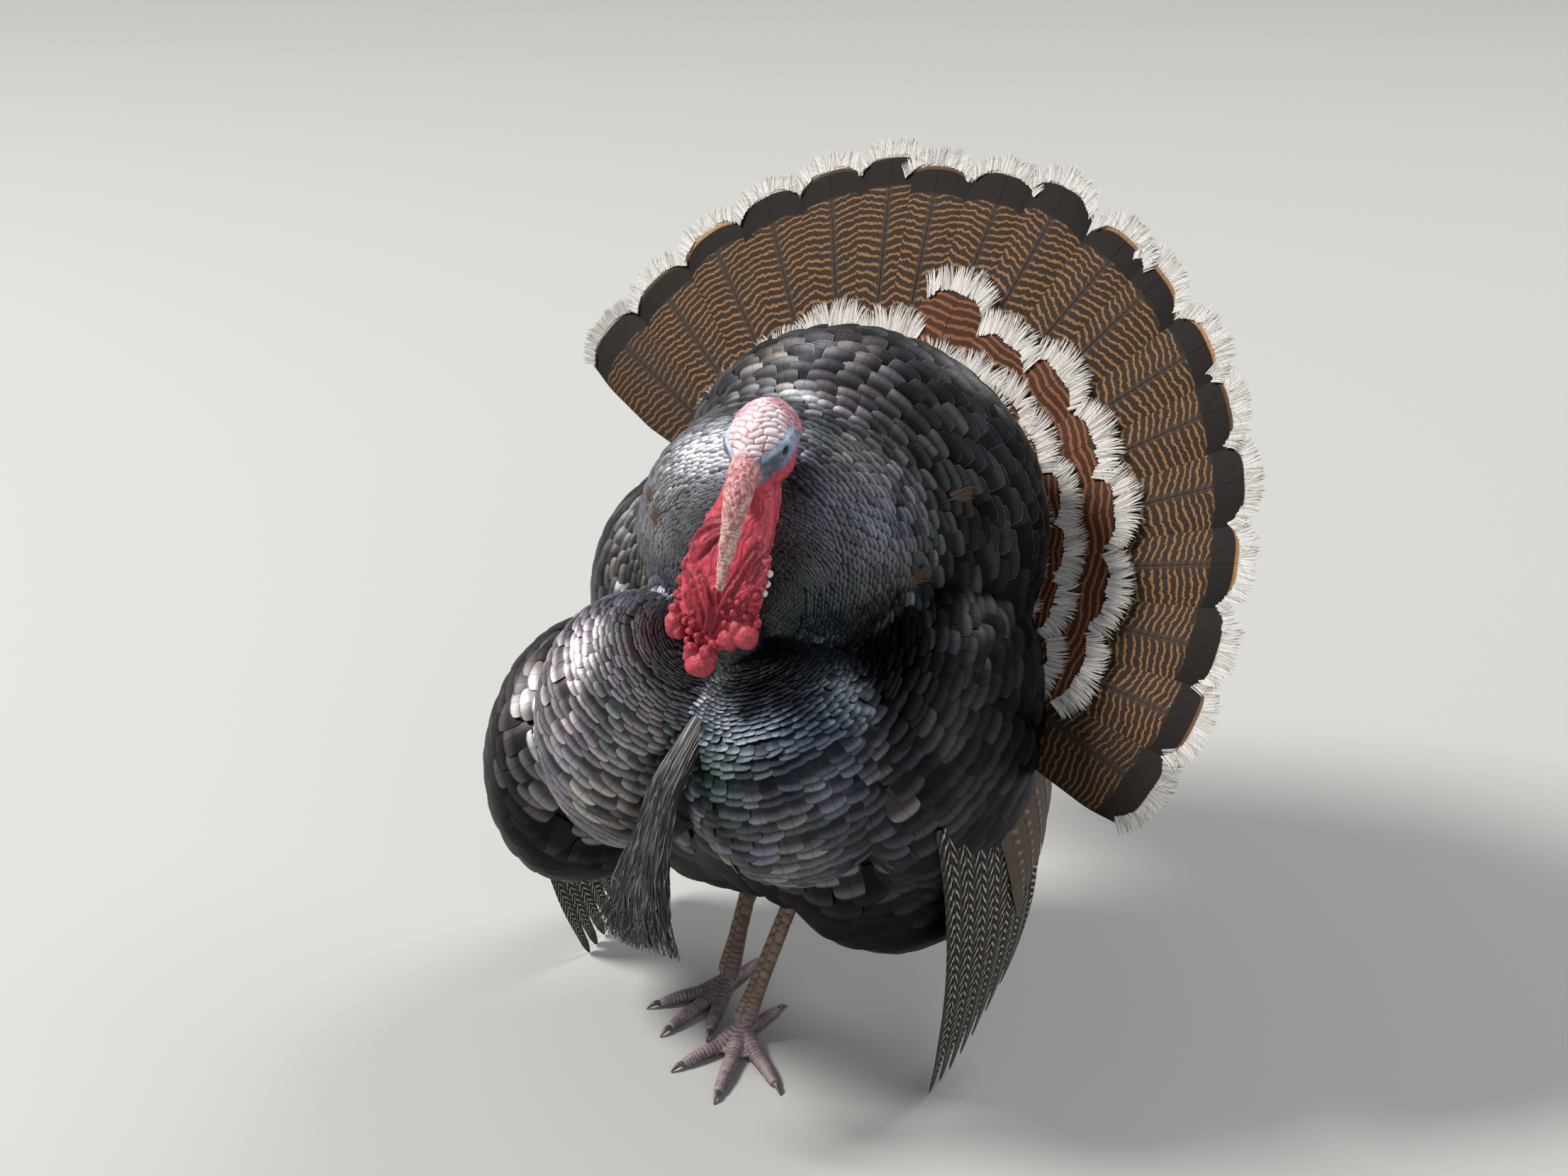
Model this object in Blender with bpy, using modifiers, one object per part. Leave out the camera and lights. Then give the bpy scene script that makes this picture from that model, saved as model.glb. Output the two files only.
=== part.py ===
"""Wild turkey tom in full display, life size: head, body, fanned tail, drooped wings and legs.

The bird faces -Y and its left is +X.  It stands on the floor, z = 0, on the soles of its feet and
on the tips of both wings.  Lengths are in metres and angles in degrees.  At the end all pieces
move together, so that the middle of the whole bird's box is over the origin.
"""

import math

import bmesh
import bpy
import numpy as np
from mathutils import Matrix, Vector

GAP = 0.0003
MERGE = 0.00005
CUTTER_GROWTH = 0.0005
BODY_CUTTER_GROWTH = 0.0012

# Body: rounded lobes that melt into each other, each with its centre and radii.
LOBES = {
    "upper_breast": ((0.006, -0.014, 0.495), (0.128, 0.112, 0.105)),
    "back": ((0.036, 0.071, 0.483), (0.172, 0.090, 0.165)),
    "breast_right": ((-0.079, -0.132, 0.342), (0.085, 0.085, 0.115)),
    "breast_left": ((0.066, -0.124, 0.332), (0.088, 0.088, 0.105)),
    "wing_left_shoulder": ((0.156, -0.004, 0.327), (0.078, 0.125, 0.135)),
    "wing_right_shoulder": ((-0.179, -0.044, 0.247), (0.085, 0.120, 0.125)),
    "scapulars_right": ((-0.110, 0.026, 0.407), (0.080, 0.110, 0.100)),
    "belly": ((0.006, 0.021, 0.277), (0.150, 0.145, 0.150)),
    "thigh_left": ((0.096, 0.000, 0.199), (0.105, 0.098, 0.098)),
    "thigh_right": ((-0.064, 0.022, 0.205), (0.105, 0.098, 0.092)),
    "rump": ((-0.012, 0.126, 0.327), (0.108, 0.085, 0.135)),
}
LOBE_BLEND = 0.010
BODY_CENTRE = (0.006, 0.016, 0.337)
BODY_CUTS = 9
REACH = 0.60

# Head and neck.
HEAD_CENTRE = (0.035, -0.114, 0.613)
HEAD_YAW = 10.0
HEAD_LOBES = {
    "cranium": ((0.0, 0.010, 0.004), (0.027, 0.031, 0.027)),
    "brow": ((0.0, -0.014, 0.004), (0.024, 0.026, 0.019)),
    "face": ((0.0, -0.028, -0.012), (0.017, 0.026, 0.017)),
    "cheek": ((0.0, 0.000, -0.016), (0.0255, 0.026, 0.020)),
}
HEAD_BLEND = 0.004
HEAD_CUTS = 5
EYE_RADIUS = 0.0058
EYE_PLACE = (0.0205, -0.0185, 0.0035)
NECK_PATH = (
    (0.030, -0.112, 0.597),
    (0.027, -0.118, 0.567),
    (0.020, -0.124, 0.532),
    (0.014, -0.128, 0.488),
    (0.011, -0.124, 0.440),
)
NECK_RADII = ((0.019, 0.018), (0.025, 0.026), (0.029, 0.030), (0.033, 0.032), (0.036, 0.032))
THROAT_PATH = (
    (0.038, -0.137, 0.591),
    (0.036, -0.152, 0.562),
    (0.032, -0.166, 0.533),
    (0.0285, -0.175, 0.506),
    (0.024, -0.180, 0.482),
    (0.021, -0.183, 0.463),
)
THROAT_RADII = (
    (0.018, 0.012),
    (0.028, 0.015),
    (0.035, 0.017),
    (0.037, 0.018),
    (0.034, 0.015),
    (0.020, 0.010),
)
CARUNCLES = {
    "caruncle_right": ((-0.013, -0.180, 0.472), (0.011, 0.012, 0.0165)),
    "caruncle_left": ((0.049, -0.186, 0.475), (0.018, 0.013, 0.013)),
    "caruncle_middle": ((0.021, -0.194, 0.455), (0.0135, 0.0135, 0.015)),
}
SNOOD_PATH = (
    (0.041, -0.146, 0.615),
    (0.0445, -0.165, 0.608),
    (0.047, -0.180, 0.593),
    (0.0465, -0.190, 0.570),
    (0.0445, -0.197, 0.546),
    (0.042, -0.201, 0.524),
)
SNOOD_RADII = (0.011, 0.0115, 0.010, 0.0085, 0.006, 0.0032)
BILL_ROOT = (0.0, -0.040, -0.014)
BILL_PITCH = 42.0
BILL_UPPER = (0.034, 0.0105, 0.007, -0.006)
BILL_LOWER = (0.027, 0.0085, 0.004, -0.002)
BEARD_PATH = (
    (0.010, -0.182, 0.412),
    (0.003, -0.216, 0.357),
    (-0.009, -0.229, 0.297),
    (-0.022, -0.232, 0.237),
    (-0.030, -0.230, 0.189),
)
BEARD_RADII = ((0.010, 0.007), (0.012, 0.009), (0.015, 0.011), (0.024, 0.012), (0.032, 0.007))

# Tail: a fan of feathers round its root, tipped back, leaning to the left and slightly dished.
TAIL_ROOT = (-0.008, 0.151, 0.381)
TAIL_YAW = -13.9
TAIL_TILT = 35.6
TAIL_LEAN = 18.0
TAIL_DISH = 4.8
TAIL_HALF_SPREAD = 92.0
TAIL_FEATHERS = 18
TAIL_LENGTH = 0.413
TAIL_INNER = 0.030
TAIL_THICKNESS = 0.0018
# Layers over the tail: feathers, half spread, inner radius, outer radius at the right end and at
# the left end, and rise to the front.
TAIL_LAYERS = (
    ("tail_coverts_upper", 13, 84.0, 0.060, (0.275, 0.330), 0.010),
    ("tail_coverts_small", 13, 86.0, 0.060, (0.225, 0.275), 0.020),
    ("tail_coverts_under", 9, 62.0, 0.050, (0.215, 0.215), -0.014),
)

# Wings: blades of long feathers, from the root edge's front and rear to the tip edge's.
WING_LEFT = {
    "wing_left_secondaries": (
        ((0.202, -0.044, 0.307), (0.241, 0.040, 0.360), (0.172, 0.135, 0.385)),
        ((0.222, 0.010, 0.140), (0.226, 0.105, 0.165), (0.160, 0.195, 0.265)),
        9,
    ),
    "wing_left_primaries": (
        ((0.202, -0.110, 0.266), (0.220, -0.044, 0.257), (0.219, 0.046, 0.242)),
        ((0.180, -0.082, 0.000), (0.185, -0.035, -0.010), (0.202, 0.045, 0.070)),
        7,
    ),
}
WING_RIGHT = {
    "wing_right_secondaries": (
        ((-0.219, -0.074, 0.257), (-0.254, 0.026, 0.317), (-0.180, 0.125, 0.372)),
        ((-0.262, -0.010, 0.115), (-0.255, 0.085, 0.145), (-0.170, 0.180, 0.255)),
        9,
    ),
    "wing_right_primaries": (
        ((-0.234, -0.069, 0.207), (-0.254, -0.014, 0.212), (-0.242, 0.066, 0.207)),
        ((-0.205, -0.030, 0.000), (-0.207, 0.030, -0.020), (-0.213, 0.090, 0.055)),
        7,
    ),
}
WING_THICKNESS = 0.0050
BLADE_MARGIN = 0.02

# Legs: ankle, where the toes part, and the toe tips on the floor.
LEGS = {
    "left": {
        "shank": ((0.030, -0.015, 0.175), (-0.006, -0.074, 0.023)),
        "toes": ((-0.034, -0.138, 0.0), (0.012, -0.160, 0.0), (0.050, -0.127, 0.0)),
        "hind": (0.004, -0.030, 0.0),
    },
    "right": {
        "shank": ((-0.044, 0.045, 0.165), (-0.055, -0.013, 0.023)),
        "toes": ((-0.098, -0.066, 0.0), (-0.072, -0.095, 0.0), (-0.038, -0.083, 0.0)),
        "hind": (-0.048, 0.033, 0.0),
    },
}
SHANK_RADII = (0.0105, 0.0078, 0.0085, 0.011)
TOE_RADII = (0.0095, 0.0078, 0.0068, 0.0058, 0.0046)
HIND_RADII = (0.0075, 0.006, 0.0045)
TOE_HEIGHT = 0.0042
PALM_DROP = 0.0110
CLAW_LENGTH = 0.0140
SPUR_LENGTH = 0.0160
TUBE_SIDES = 8

COLOURS = {
    "feather_black": (0.018, 0.018, 0.020, 0.42, 0.35),
    "feather_breast": (0.045, 0.048, 0.058, 0.38, 0.45),
    "feather_brown": (0.060, 0.038, 0.026, 0.55, 0.10),
    "tail_brown": (0.110, 0.055, 0.026, 0.60, 0.00),
    "tail_chestnut": (0.140, 0.060, 0.030, 0.60, 0.00),
    "crown_white": (0.800, 0.700, 0.700, 0.50, 0.00),
    "flesh_red": (0.620, 0.050, 0.070, 0.40, 0.00),
    "flesh_pink": (0.700, 0.280, 0.270, 0.50, 0.00),
    "horn_grey": (0.180, 0.170, 0.160, 0.40, 0.00),
    "eye_dark": (0.015, 0.010, 0.008, 0.08, 0.00),
    "leg_pink": (0.420, 0.250, 0.210, 0.50, 0.00),
    "bristle": (0.050, 0.048, 0.050, 0.65, 0.00),
}


def clear_scene():
    for obj in list(bpy.data.objects):
        bpy.data.objects.remove(obj, do_unlink=True)


def new_collection(name):
    collection = bpy.data.collections.new(name)
    bpy.context.scene.collection.children.link(collection)
    return collection


def material(name):
    red, green, blue, roughness, metallic = COLOURS[name]
    made = bpy.data.materials.get(name) or bpy.data.materials.new(name)
    made.use_nodes = True
    shader = made.node_tree.nodes["Principled BSDF"]
    shader.inputs["Base Color"].default_value = (red, green, blue, 1.0)
    shader.inputs["Roughness"].default_value = roughness
    shader.inputs["Metallic"].default_value = metallic
    made.diffuse_color = (red, green, blue, 1.0)
    return made


def place(bm, name, colour, collection):
    """Turns a bmesh into a smooth-shaded object with outward faces."""
    bmesh.ops.recalc_face_normals(bm, faces=bm.faces)
    mesh = bpy.data.meshes.new(name)
    bm.to_mesh(mesh)
    bm.free()
    mesh.shade_smooth()
    mesh.set_sharp_from_angle(angle=math.radians(40))
    mesh.materials.append(material(colour))
    obj = bpy.data.objects.new(name, mesh)
    collection.objects.link(obj)
    return obj


def hide_cutter(obj):
    obj.hide_render = True
    obj.display_type = "WIRE"


def carve(obj, cutter):
    cut = obj.modifiers.new("carve_" + cutter.name, "BOOLEAN")
    cut.operation = "DIFFERENCE"
    cut.solver = "EXACT"
    cut.object = cutter


# ---- rounded forms made of lobes ----


def lobe_field(points, lobes, blend):
    """Signed distance, roughly, to the lobes melted together."""
    distances = []
    for centre, radii in lobes:
        scaled = (points - np.array(centre)) / np.array(radii)
        size = np.linalg.norm(scaled, axis=-1)
        slope = np.linalg.norm(scaled / np.array(radii), axis=-1)
        distances.append(size * (size - 1) / np.maximum(slope, 1e-9))
    distances = np.stack(distances, -1)
    nearest = distances.min(-1)
    melt = np.exp(-(distances - nearest[..., None]) / blend).sum(-1)
    return nearest - blend * np.log(melt)


def reach_surface(centre, directions, lobes, blend, reach):
    """The outermost point of the lobes along each direction from the centre."""
    steps = np.linspace(reach, 0.0, 121)
    inside = np.zeros(len(directions))
    found = np.zeros(len(directions), bool)
    for step in steps:
        hit = (lobe_field(centre + directions * step, lobes, blend) < 0) & ~found
        inside[hit] = step
        found |= hit
    outside = inside + steps[0] - steps[1]
    for _ in range(16):
        middle = (inside + outside) / 2
        is_in = lobe_field(centre + directions * middle[:, None], lobes, blend) < 0
        inside = np.where(is_in, middle, inside)
        outside = np.where(is_in, outside, middle)
    return centre + directions * inside[:, None]


def lobed_form(centre, lobes, blend, reach, cuts, growth=0.0):
    """A closed bmesh: a finely divided cube drawn out from the centre to the lobes' surface."""
    bm = bmesh.new()
    bmesh.ops.create_cube(bm, size=2.0)
    bmesh.ops.subdivide_edges(bm, edges=bm.edges, cuts=cuts, use_grid_fill=True)
    corners = np.array([vert.co for vert in bm.verts])
    bowed = np.tan(corners * math.pi / 4)
    directions = bowed / np.linalg.norm(bowed, axis=1)[:, None]
    centre = np.array(centre)
    surface = reach_surface(centre, directions, lobes, blend, reach)
    for vert, point in zip(bm.verts, surface):
        vert.co = point
    bmesh.ops.triangulate(bm, faces=bm.faces)
    bm.normal_update()
    for vert in bm.verts:
        vert.co += vert.normal * growth
    return bm


def keep_side(bm, point, normal):
    """Keeps what lies behind a plane and closes the cut."""
    everything = bm.verts[:] + bm.edges[:] + bm.faces[:]
    bmesh.ops.bisect_plane(
        bm, geom=everything, dist=1e-6, plane_co=point, plane_no=normal, clear_outer=True
    )
    bmesh.ops.remove_doubles(bm, verts=bm.verts, dist=MERGE)
    rim = [edge for edge in bm.edges if edge.is_boundary]
    bmesh.ops.holes_fill(bm, edges=rim, sides=0)


def part_body(collection):
    """Parts the melted body into its lobes, along the planes of equal power between them."""
    lobes = list(LOBES.values())
    whole = lobed_form(BODY_CENTRE, lobes, LOBE_BLEND, REACH, BODY_CUTS)
    for name, (centre, radii) in LOBES.items():
        cell = whole.copy()
        for other, (other_centre, other_radii) in LOBES.items():
            if other == name:
                continue
            between = Vector(other_centre) - Vector(centre)
            power = np.mean(radii) ** 2 - np.mean(other_radii) ** 2
            share = (between.length_squared + power) / (2 * between.length)
            normal = between.normalized()
            keep_side(cell, Vector(centre) + normal * (share - GAP / 2), normal)
        colour = "feather_breast" if "breast" in name else "feather_black"
        place(cell, name, colour, collection)
    whole.free()
    grown = lobed_form(BODY_CENTRE, lobes, LOBE_BLEND, REACH, BODY_CUTS, BODY_CUTTER_GROWTH)
    return grown


# ---- tubes along a path ----


def smooth_path(points, steps):
    """Points of a smooth curve through the given ones."""
    points = [Vector(point) for point in points]
    ends = [2 * points[0] - points[1]] + points + [2 * points[-1] - points[-2]]
    curve = []
    for before, start, end, after in zip(ends, ends[1:], ends[2:], ends[3:]):
        for step in range(steps):
            t = step / steps
            curve.append(
                0.5
                * (
                    2 * start
                    + (end - before) * t
                    + (2 * before - 5 * start + 4 * end - after) * t**2
                    + (3 * start - before - 3 * end + after) * t**3
                )
            )
    return curve + [points[-1]]


def tube(points, radii, sides=TUBE_SIDES, side_axis=(1.0, 0.0, 0.0), steps=2):
    """A loft along a path.  Each radius is a number or a pair: across and along the path's depth."""
    path = smooth_path(points, steps)
    pairs = [radius if isinstance(radius, tuple) else (radius, radius) for radius in radii]
    knots = np.linspace(0, 1, len(pairs))
    along = np.linspace(0, 1, len(path))
    wide = np.interp(along, knots, [pair[0] for pair in pairs])
    deep = np.interp(along, knots, [pair[1] for pair in pairs])
    bm = bmesh.new()
    rings = []
    for i, point in enumerate(path):
        tangent = (path[min(i + 1, len(path) - 1)] - path[max(i - 1, 0)]).normalized()
        depth = tangent.cross(Vector(side_axis)).normalized()
        across = depth.cross(tangent).normalized()
        ring = []
        for k in range(sides):
            turn = 2 * math.pi * k / sides
            offset = across * (wide[i] * math.cos(turn)) + depth * (deep[i] * math.sin(turn))
            ring.append(bm.verts.new(point + offset))
        rings.append(ring)
    for ring, following in zip(rings, rings[1:]):
        for k in range(sides):
            after = (k + 1) % sides
            bm.faces.new((ring[k], ring[after], following[after], following[k]))
    for ring, inner, outward in ((rings[0], path[1], path[0]), (rings[-1], path[-2], path[-1])):
        cap = (outward - inner).normalized() * min(wide.min(), deep.min()) * 0.5
        centre = bm.verts.new(outward + cap)
        for k in range(sides):
            bm.faces.new((ring[k], ring[(k + 1) % sides], centre))
    bmesh.ops.recalc_face_normals(bm, faces=bm.faces)
    return bm


def ellipsoid(centre, radii, around=10, rings=6):
    bm = bmesh.new()
    shape = Matrix.Translation(centre) @ Matrix.Diagonal((*radii, 1.0))
    bmesh.ops.create_uvsphere(bm, u_segments=around, v_segments=rings, radius=1.0, matrix=shape)
    return bm


# ---- head ----


def head_frame():
    return Matrix.Translation(HEAD_CENTRE) @ Matrix.Rotation(math.radians(HEAD_YAW), 4, "Z")


def make_head(collection, cutters, body_cutter):
    frame = head_frame()
    lobes = list(HEAD_LOBES.values())
    skull = lobed_form((0, 0, 0), lobes, HEAD_BLEND, 0.08, HEAD_CUTS)
    skull.transform(frame)
    head = place(skull, "head", "crown_white", collection)
    grown = lobed_form((0, 0, 0), lobes, HEAD_BLEND, 0.08, HEAD_CUTS, CUTTER_GROWTH)
    grown.transform(frame)
    head_cutter = place(grown, "head_grown", "crown_white", cutters)
    hide_cutter(head_cutter)
    for side, sign in (("left", 1), ("right", -1)):
        middle = frame @ Vector((sign * EYE_PLACE[0], EYE_PLACE[1], EYE_PLACE[2]))
        place(ellipsoid(middle, (EYE_RADIUS,) * 3), "eye_" + side, "eye_dark", collection)
        socket_size = (EYE_RADIUS + CUTTER_GROWTH,) * 3
        socket = place(ellipsoid(middle, socket_size), "socket_" + side, "eye_dark", cutters)
        hide_cutter(socket)
        carve(head, socket)
    carve(head, body_cutter)
    neck = place(tube(NECK_PATH, NECK_RADII, 10), "neck", "flesh_red", collection)
    grown_neck = [tuple(r + CUTTER_GROWTH for r in pair) for pair in NECK_RADII]
    neck_cutter = place(tube(NECK_PATH, grown_neck, 10), "neck_grown", "flesh_red", cutters)
    hide_cutter(neck_cutter)
    carve(neck, head_cutter)
    carve(neck, body_cutter)
    throat = place(tube(THROAT_PATH, THROAT_RADII, 12), "throat", "flesh_red", collection)
    grown_throat = [tuple(r + CUTTER_GROWTH for r in pair) for pair in THROAT_RADII]
    throat_cutter = place(tube(THROAT_PATH, grown_throat, 12), "throat_grown", "flesh_red", cutters)
    hide_cutter(throat_cutter)
    for cutter in (head_cutter, neck_cutter, body_cutter):
        carve(throat, cutter)
    for name, (centre, radii) in CARUNCLES.items():
        ball = place(ellipsoid(centre, radii), name, "flesh_red", collection)
        for cutter in (throat_cutter, neck_cutter, body_cutter):
            carve(ball, cutter)
    snood = place(tube(SNOOD_PATH, SNOOD_RADII, 10), "snood", "flesh_pink", collection)
    grown_snood = [r + CUTTER_GROWTH for r in SNOOD_RADII]
    snood_cutter = place(tube(SNOOD_PATH, grown_snood, 10), "snood_grown", "flesh_pink", cutters)
    hide_cutter(snood_cutter)
    carve(snood, head_cutter)
    carve(snood, throat_cutter)
    make_bill(collection, frame, (head_cutter, snood_cutter, throat_cutter))


def make_bill(collection, frame, around):
    """Upper and lower bill: tapered, curved tubes from the front of the face."""
    for name, (length, wide, deep, droop), side in (
        ("bill_upper", BILL_UPPER, 1),
        ("bill_lower", BILL_LOWER, -1),
    ):
        lift = Vector((0, 0, side * (deep + GAP)))
        path = [lift + Vector((0, -length * t, droop * t**2)) for t in (-0.4, 0.3, 0.7, 1.0)]
        radii = [(wide, deep), (wide * 0.85, deep * 0.9), (wide * 0.55, deep * 0.7), (0.002, 0.0015)]
        bill = tube(path, radii, 8)
        dip = Matrix.Rotation(math.radians(BILL_PITCH), 4, "X")
        bill.transform(frame @ Matrix.Translation(BILL_ROOT) @ dip)
        bill = place(bill, name, "horn_grey", collection)
        for cutter in around:
            carve(bill, cutter)


# ---- tail ----


def tail_axes():
    """Up along the middle feather, to the bird's left, and out of the fan's front."""
    tilt, lean = math.radians(TAIL_TILT), math.radians(TAIL_LEAN)
    up = Vector((0, math.sin(tilt), math.cos(tilt)))
    left = Vector((1, 0, 0))
    front = Vector((0, -math.cos(tilt), math.sin(tilt)))
    leaned = up * math.cos(lean) + left * math.sin(lean)
    side = left * math.cos(lean) - up * math.sin(lean)
    turn = Matrix.Rotation(math.radians(TAIL_YAW), 3, "Z")
    return turn @ leaned, turn @ side, turn @ front


def fan_sheet(feathers, half_spread, inner, outer_ends, rise, rows, columns_each=4):
    """An open fan: each feather is a few columns wide, with a rounded tip and a raised middle."""
    up, side, front = tail_axes()
    dish = math.radians(TAIL_DISH)
    bm = bmesh.new()
    grid = []
    for column in range(feathers * columns_each + 1):
        share = column / (feathers * columns_each)
        turn = math.radians(half_spread) * (2 * share - 1)
        across = 2 * ((column % columns_each) / columns_each) - 1
        outer = outer_ends[0] + (outer_ends[1] - outer_ends[0]) * share
        rounding = 0.035 * across**4 * outer + (0.012 * outer if column % columns_each == 0 else 0)
        tip = outer - rounding
        line = []
        for row in range(rows + 1):
            radius = inner + (tip - inner) * row / rows
            ridge = 0.0012 * math.cos(math.pi * across) * radius / outer
            spoke = (up * math.cos(turn) + side * math.sin(turn)) * math.cos(dish)
            point = Vector(TAIL_ROOT) + (spoke + front * math.sin(dish)) * radius
            line.append(bm.verts.new(point + front * (rise + ridge)))
        grid.append(line)
    for line, following in zip(grid, grid[1:]):
        for row in range(rows):
            bm.faces.new((line[row], following[row], following[row + 1], line[row + 1]))
    return bm


def solidify(obj, thickness):
    shell = obj.modifiers.new("thickness", "SOLIDIFY")
    shell.thickness = thickness
    shell.offset = 0.0
    shell.use_even_offset = True


def make_tail(collection, body_cutter):
    sheet = fan_sheet(TAIL_FEATHERS, TAIL_HALF_SPREAD, TAIL_INNER, (TAIL_LENGTH,) * 2, 0.0, 2)
    fan = place(sheet, "tail_feathers", "tail_brown", collection)
    solidify(fan, TAIL_THICKNESS)
    carve(fan, body_cutter)
    for name, feathers, half_spread, inner, outer, rise in TAIL_LAYERS:
        sheet = fan_sheet(feathers, half_spread, inner, outer, rise, 2, 2)
        layer = place(sheet, name, "tail_chestnut", collection)
        solidify(layer, TAIL_THICKNESS)
        carve(layer, body_cutter)


# ---- wings ----


def bow(curve, t):
    """Point at t on the arc from the first point to the last, bent towards the middle one."""
    start, middle, end = (Vector(point) for point in curve)
    return start * (1 - t) ** 2 + middle * 2 * t * (1 - t) + end * t**2


def wing_blade(root_edge, tip_edge, feathers, margin=0.0, rows=3, columns_each=2):
    """An open sheet of long feathers with a stepped lower edge, bowed outwards."""
    bm = bmesh.new()
    grid = []
    outward = Vector((math.copysign(1.0, root_edge[0][0]), 0, 0))
    count = feathers * columns_each
    for column in range(count + 1):
        across = column / count * (1 + 2 * margin) - margin
        top, bottom = bow(root_edge, across), bow(tip_edge, across)
        notch = 0.05 if column % columns_each == 0 and 0 < column < count else 0.0
        line = []
        for row in range(rows + 1):
            down = row / rows * (1 - notch) * (1 + 2 * margin) - margin
            point = top.lerp(bottom, down) + outward * (0.05 * down * (1 - down))
            line.append(bm.verts.new(point))
        grid.append(line)
    for line, following in zip(grid, grid[1:]):
        for row in range(rows):
            bm.faces.new((line[row], following[row], following[row + 1], line[row + 1]))
    return bm


def make_wings(collection, cutters, body_cutter, floor_cutter):
    for blades in (WING_LEFT, WING_RIGHT):
        shell_cutter = None
        for name, (root_edge, tip_edge, feathers) in blades.items():
            sheet = wing_blade(root_edge, tip_edge, feathers)
            blade = place(sheet, name, "feather_brown", collection)
            solidify(blade, WING_THICKNESS)
            carve(blade, body_cutter)
            carve(blade, floor_cutter)
            if shell_cutter:
                carve(blade, shell_cutter)
            grown = wing_blade(root_edge, tip_edge, feathers, BLADE_MARGIN)
            shell_cutter = place(grown, name + "_grown", "feather_brown", cutters)
            solidify(shell_cutter, WING_THICKNESS + 8 * CUTTER_GROWTH)
            hide_cutter(shell_cutter)


# ---- legs ----


def make_leg(side, plan, collection, cutters, body_cutter, floor_cutter):
    ankle, joint = Vector(plan["shank"][0]), Vector(plan["shank"][1])
    middle_high = ankle.lerp(joint, 0.35)
    middle_low = ankle.lerp(joint, 0.75)
    path = (ankle, middle_high, middle_low, joint)
    shank = place(tube(path, SHANK_RADII, 8), "shank_" + side, "leg_pink", collection)
    carve(shank, body_cutter)
    grown = [radius + CUTTER_GROWTH for radius in SHANK_RADII]
    shank_cutter = place(tube(path, grown, 8), "shank_grown_" + side, "leg_pink", cutters)
    hide_cutter(shank_cutter)
    foot = None
    palm = joint + Vector((0, -0.006, -PALM_DROP))
    toes = [(tip, TOE_RADII) for tip in plan["toes"]] + [(plan["hind"], HIND_RADII)]
    for number, (tip, radii) in enumerate(toes):
        end = Vector(tip) + Vector((0, 0, TOE_HEIGHT))
        toe_path = [palm.lerp(end, share) for share in (0, 0.4, 0.75, 1)]
        for point in toe_path[1:3]:
            point.z = TOE_HEIGHT + 0.0015
        name = "foot_" + side if number == 0 else "toe_{}_{}".format(side, number)
        toe = place(tube(toe_path, radii, 7, steps=1), name, "leg_pink", cutters if number else collection)
        if number == 0:
            foot = toe
        else:
            hide_cutter(toe)
            join = foot.modifiers.new("join_" + name, "BOOLEAN")
            join.operation = "UNION"
            join.solver = "EXACT"
            join.object = toe
        heading = (end - palm).normalized()
        make_claw(side, number + 1, end, heading, radii[-1], collection)
    carve(foot, shank_cutter)
    carve(foot, floor_cutter)
    make_spur(side, ankle.lerp(joint, 0.62), collection, shank_cutter)


def make_claw(side, number, end, heading, radius, collection):
    """A short curved cone just past the end of a toe."""
    start = end + heading * (radius * 0.5 + 2 * GAP)
    level = Vector((heading.x, heading.y, 0)).normalized()
    middle = start + level * CLAW_LENGTH * 0.5 + Vector((0, 0, 0.0006))
    tip = start + level * CLAW_LENGTH + Vector((0, 0, -0.003))
    path = (start, middle, tip)
    radii = (0.003, 0.0024, 0.0008)
    name = "claw_{}_{}".format(side, number)
    across = level.cross(Vector((0, 0, 1)))
    place(tube(path, radii, 5, across, 1), name, "horn_grey", collection)


def make_spur(side, root, collection, shank_cutter):
    """The tom's spur, a blunt cone on the back of the shank."""
    tip = root + Vector((0.002, SPUR_LENGTH + 0.006, 0.004))
    path = (root, root.lerp(tip, 0.5), tip)
    spur = place(tube(path, (0.005, 0.0036, 0.001), 6), "spur_" + side, "horn_grey", collection)
    carve(spur, shank_cutter)


def centre_over_origin(objects):
    """Moves every object by one step, so that the middle of the bird's box is at x = y = 0."""
    bpy.context.view_layer.update()
    graph = bpy.context.evaluated_depsgraph_get()
    corners = []
    for obj in objects:
        mesh = obj.evaluated_get(graph).to_mesh()
        corners += [obj.matrix_world @ vert.co for vert in mesh.vertices]
        obj.evaluated_get(graph).to_mesh_clear()
    middle_x = (min(c.x for c in corners) + max(c.x for c in corners)) / 2
    middle_y = (min(c.y for c in corners) + max(c.y for c in corners)) / 2
    for obj in bpy.data.objects:
        obj.location -= Vector((middle_x, middle_y, 0))


def main():
    clear_scene()
    parts = new_collection("wild_turkey")
    cutters = new_collection("cutters")
    grown = part_body(parts)
    body_cutter = place(grown, "body_grown", "feather_black", cutters)
    hide_cutter(body_cutter)
    slab = bmesh.new()
    below = Matrix.Translation((0, 0, -0.05)) @ Matrix.Diagonal((1.2, 1.2, 0.1, 1.0))
    bmesh.ops.create_cube(slab, size=1.0, matrix=below)
    floor_cutter = place(slab, "below_floor", "feather_black", cutters)
    hide_cutter(floor_cutter)
    make_head(parts, cutters, body_cutter)
    beard = place(tube(BEARD_PATH, BEARD_RADII, 8), "beard", "bristle", parts)
    carve(beard, body_cutter)
    make_tail(parts, body_cutter)
    make_wings(parts, cutters, body_cutter, floor_cutter)
    for side, plan in LEGS.items():
        make_leg(side, plan, parts, cutters, body_cutter, floor_cutter)
    centre_over_origin(list(parts.objects))


main()
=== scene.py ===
import math
from functools import partial
from types import SimpleNamespace
from typing import NamedTuple

import bmesh
import bpy
import numpy as np
from mathutils import Matrix, Vector, noise


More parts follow.
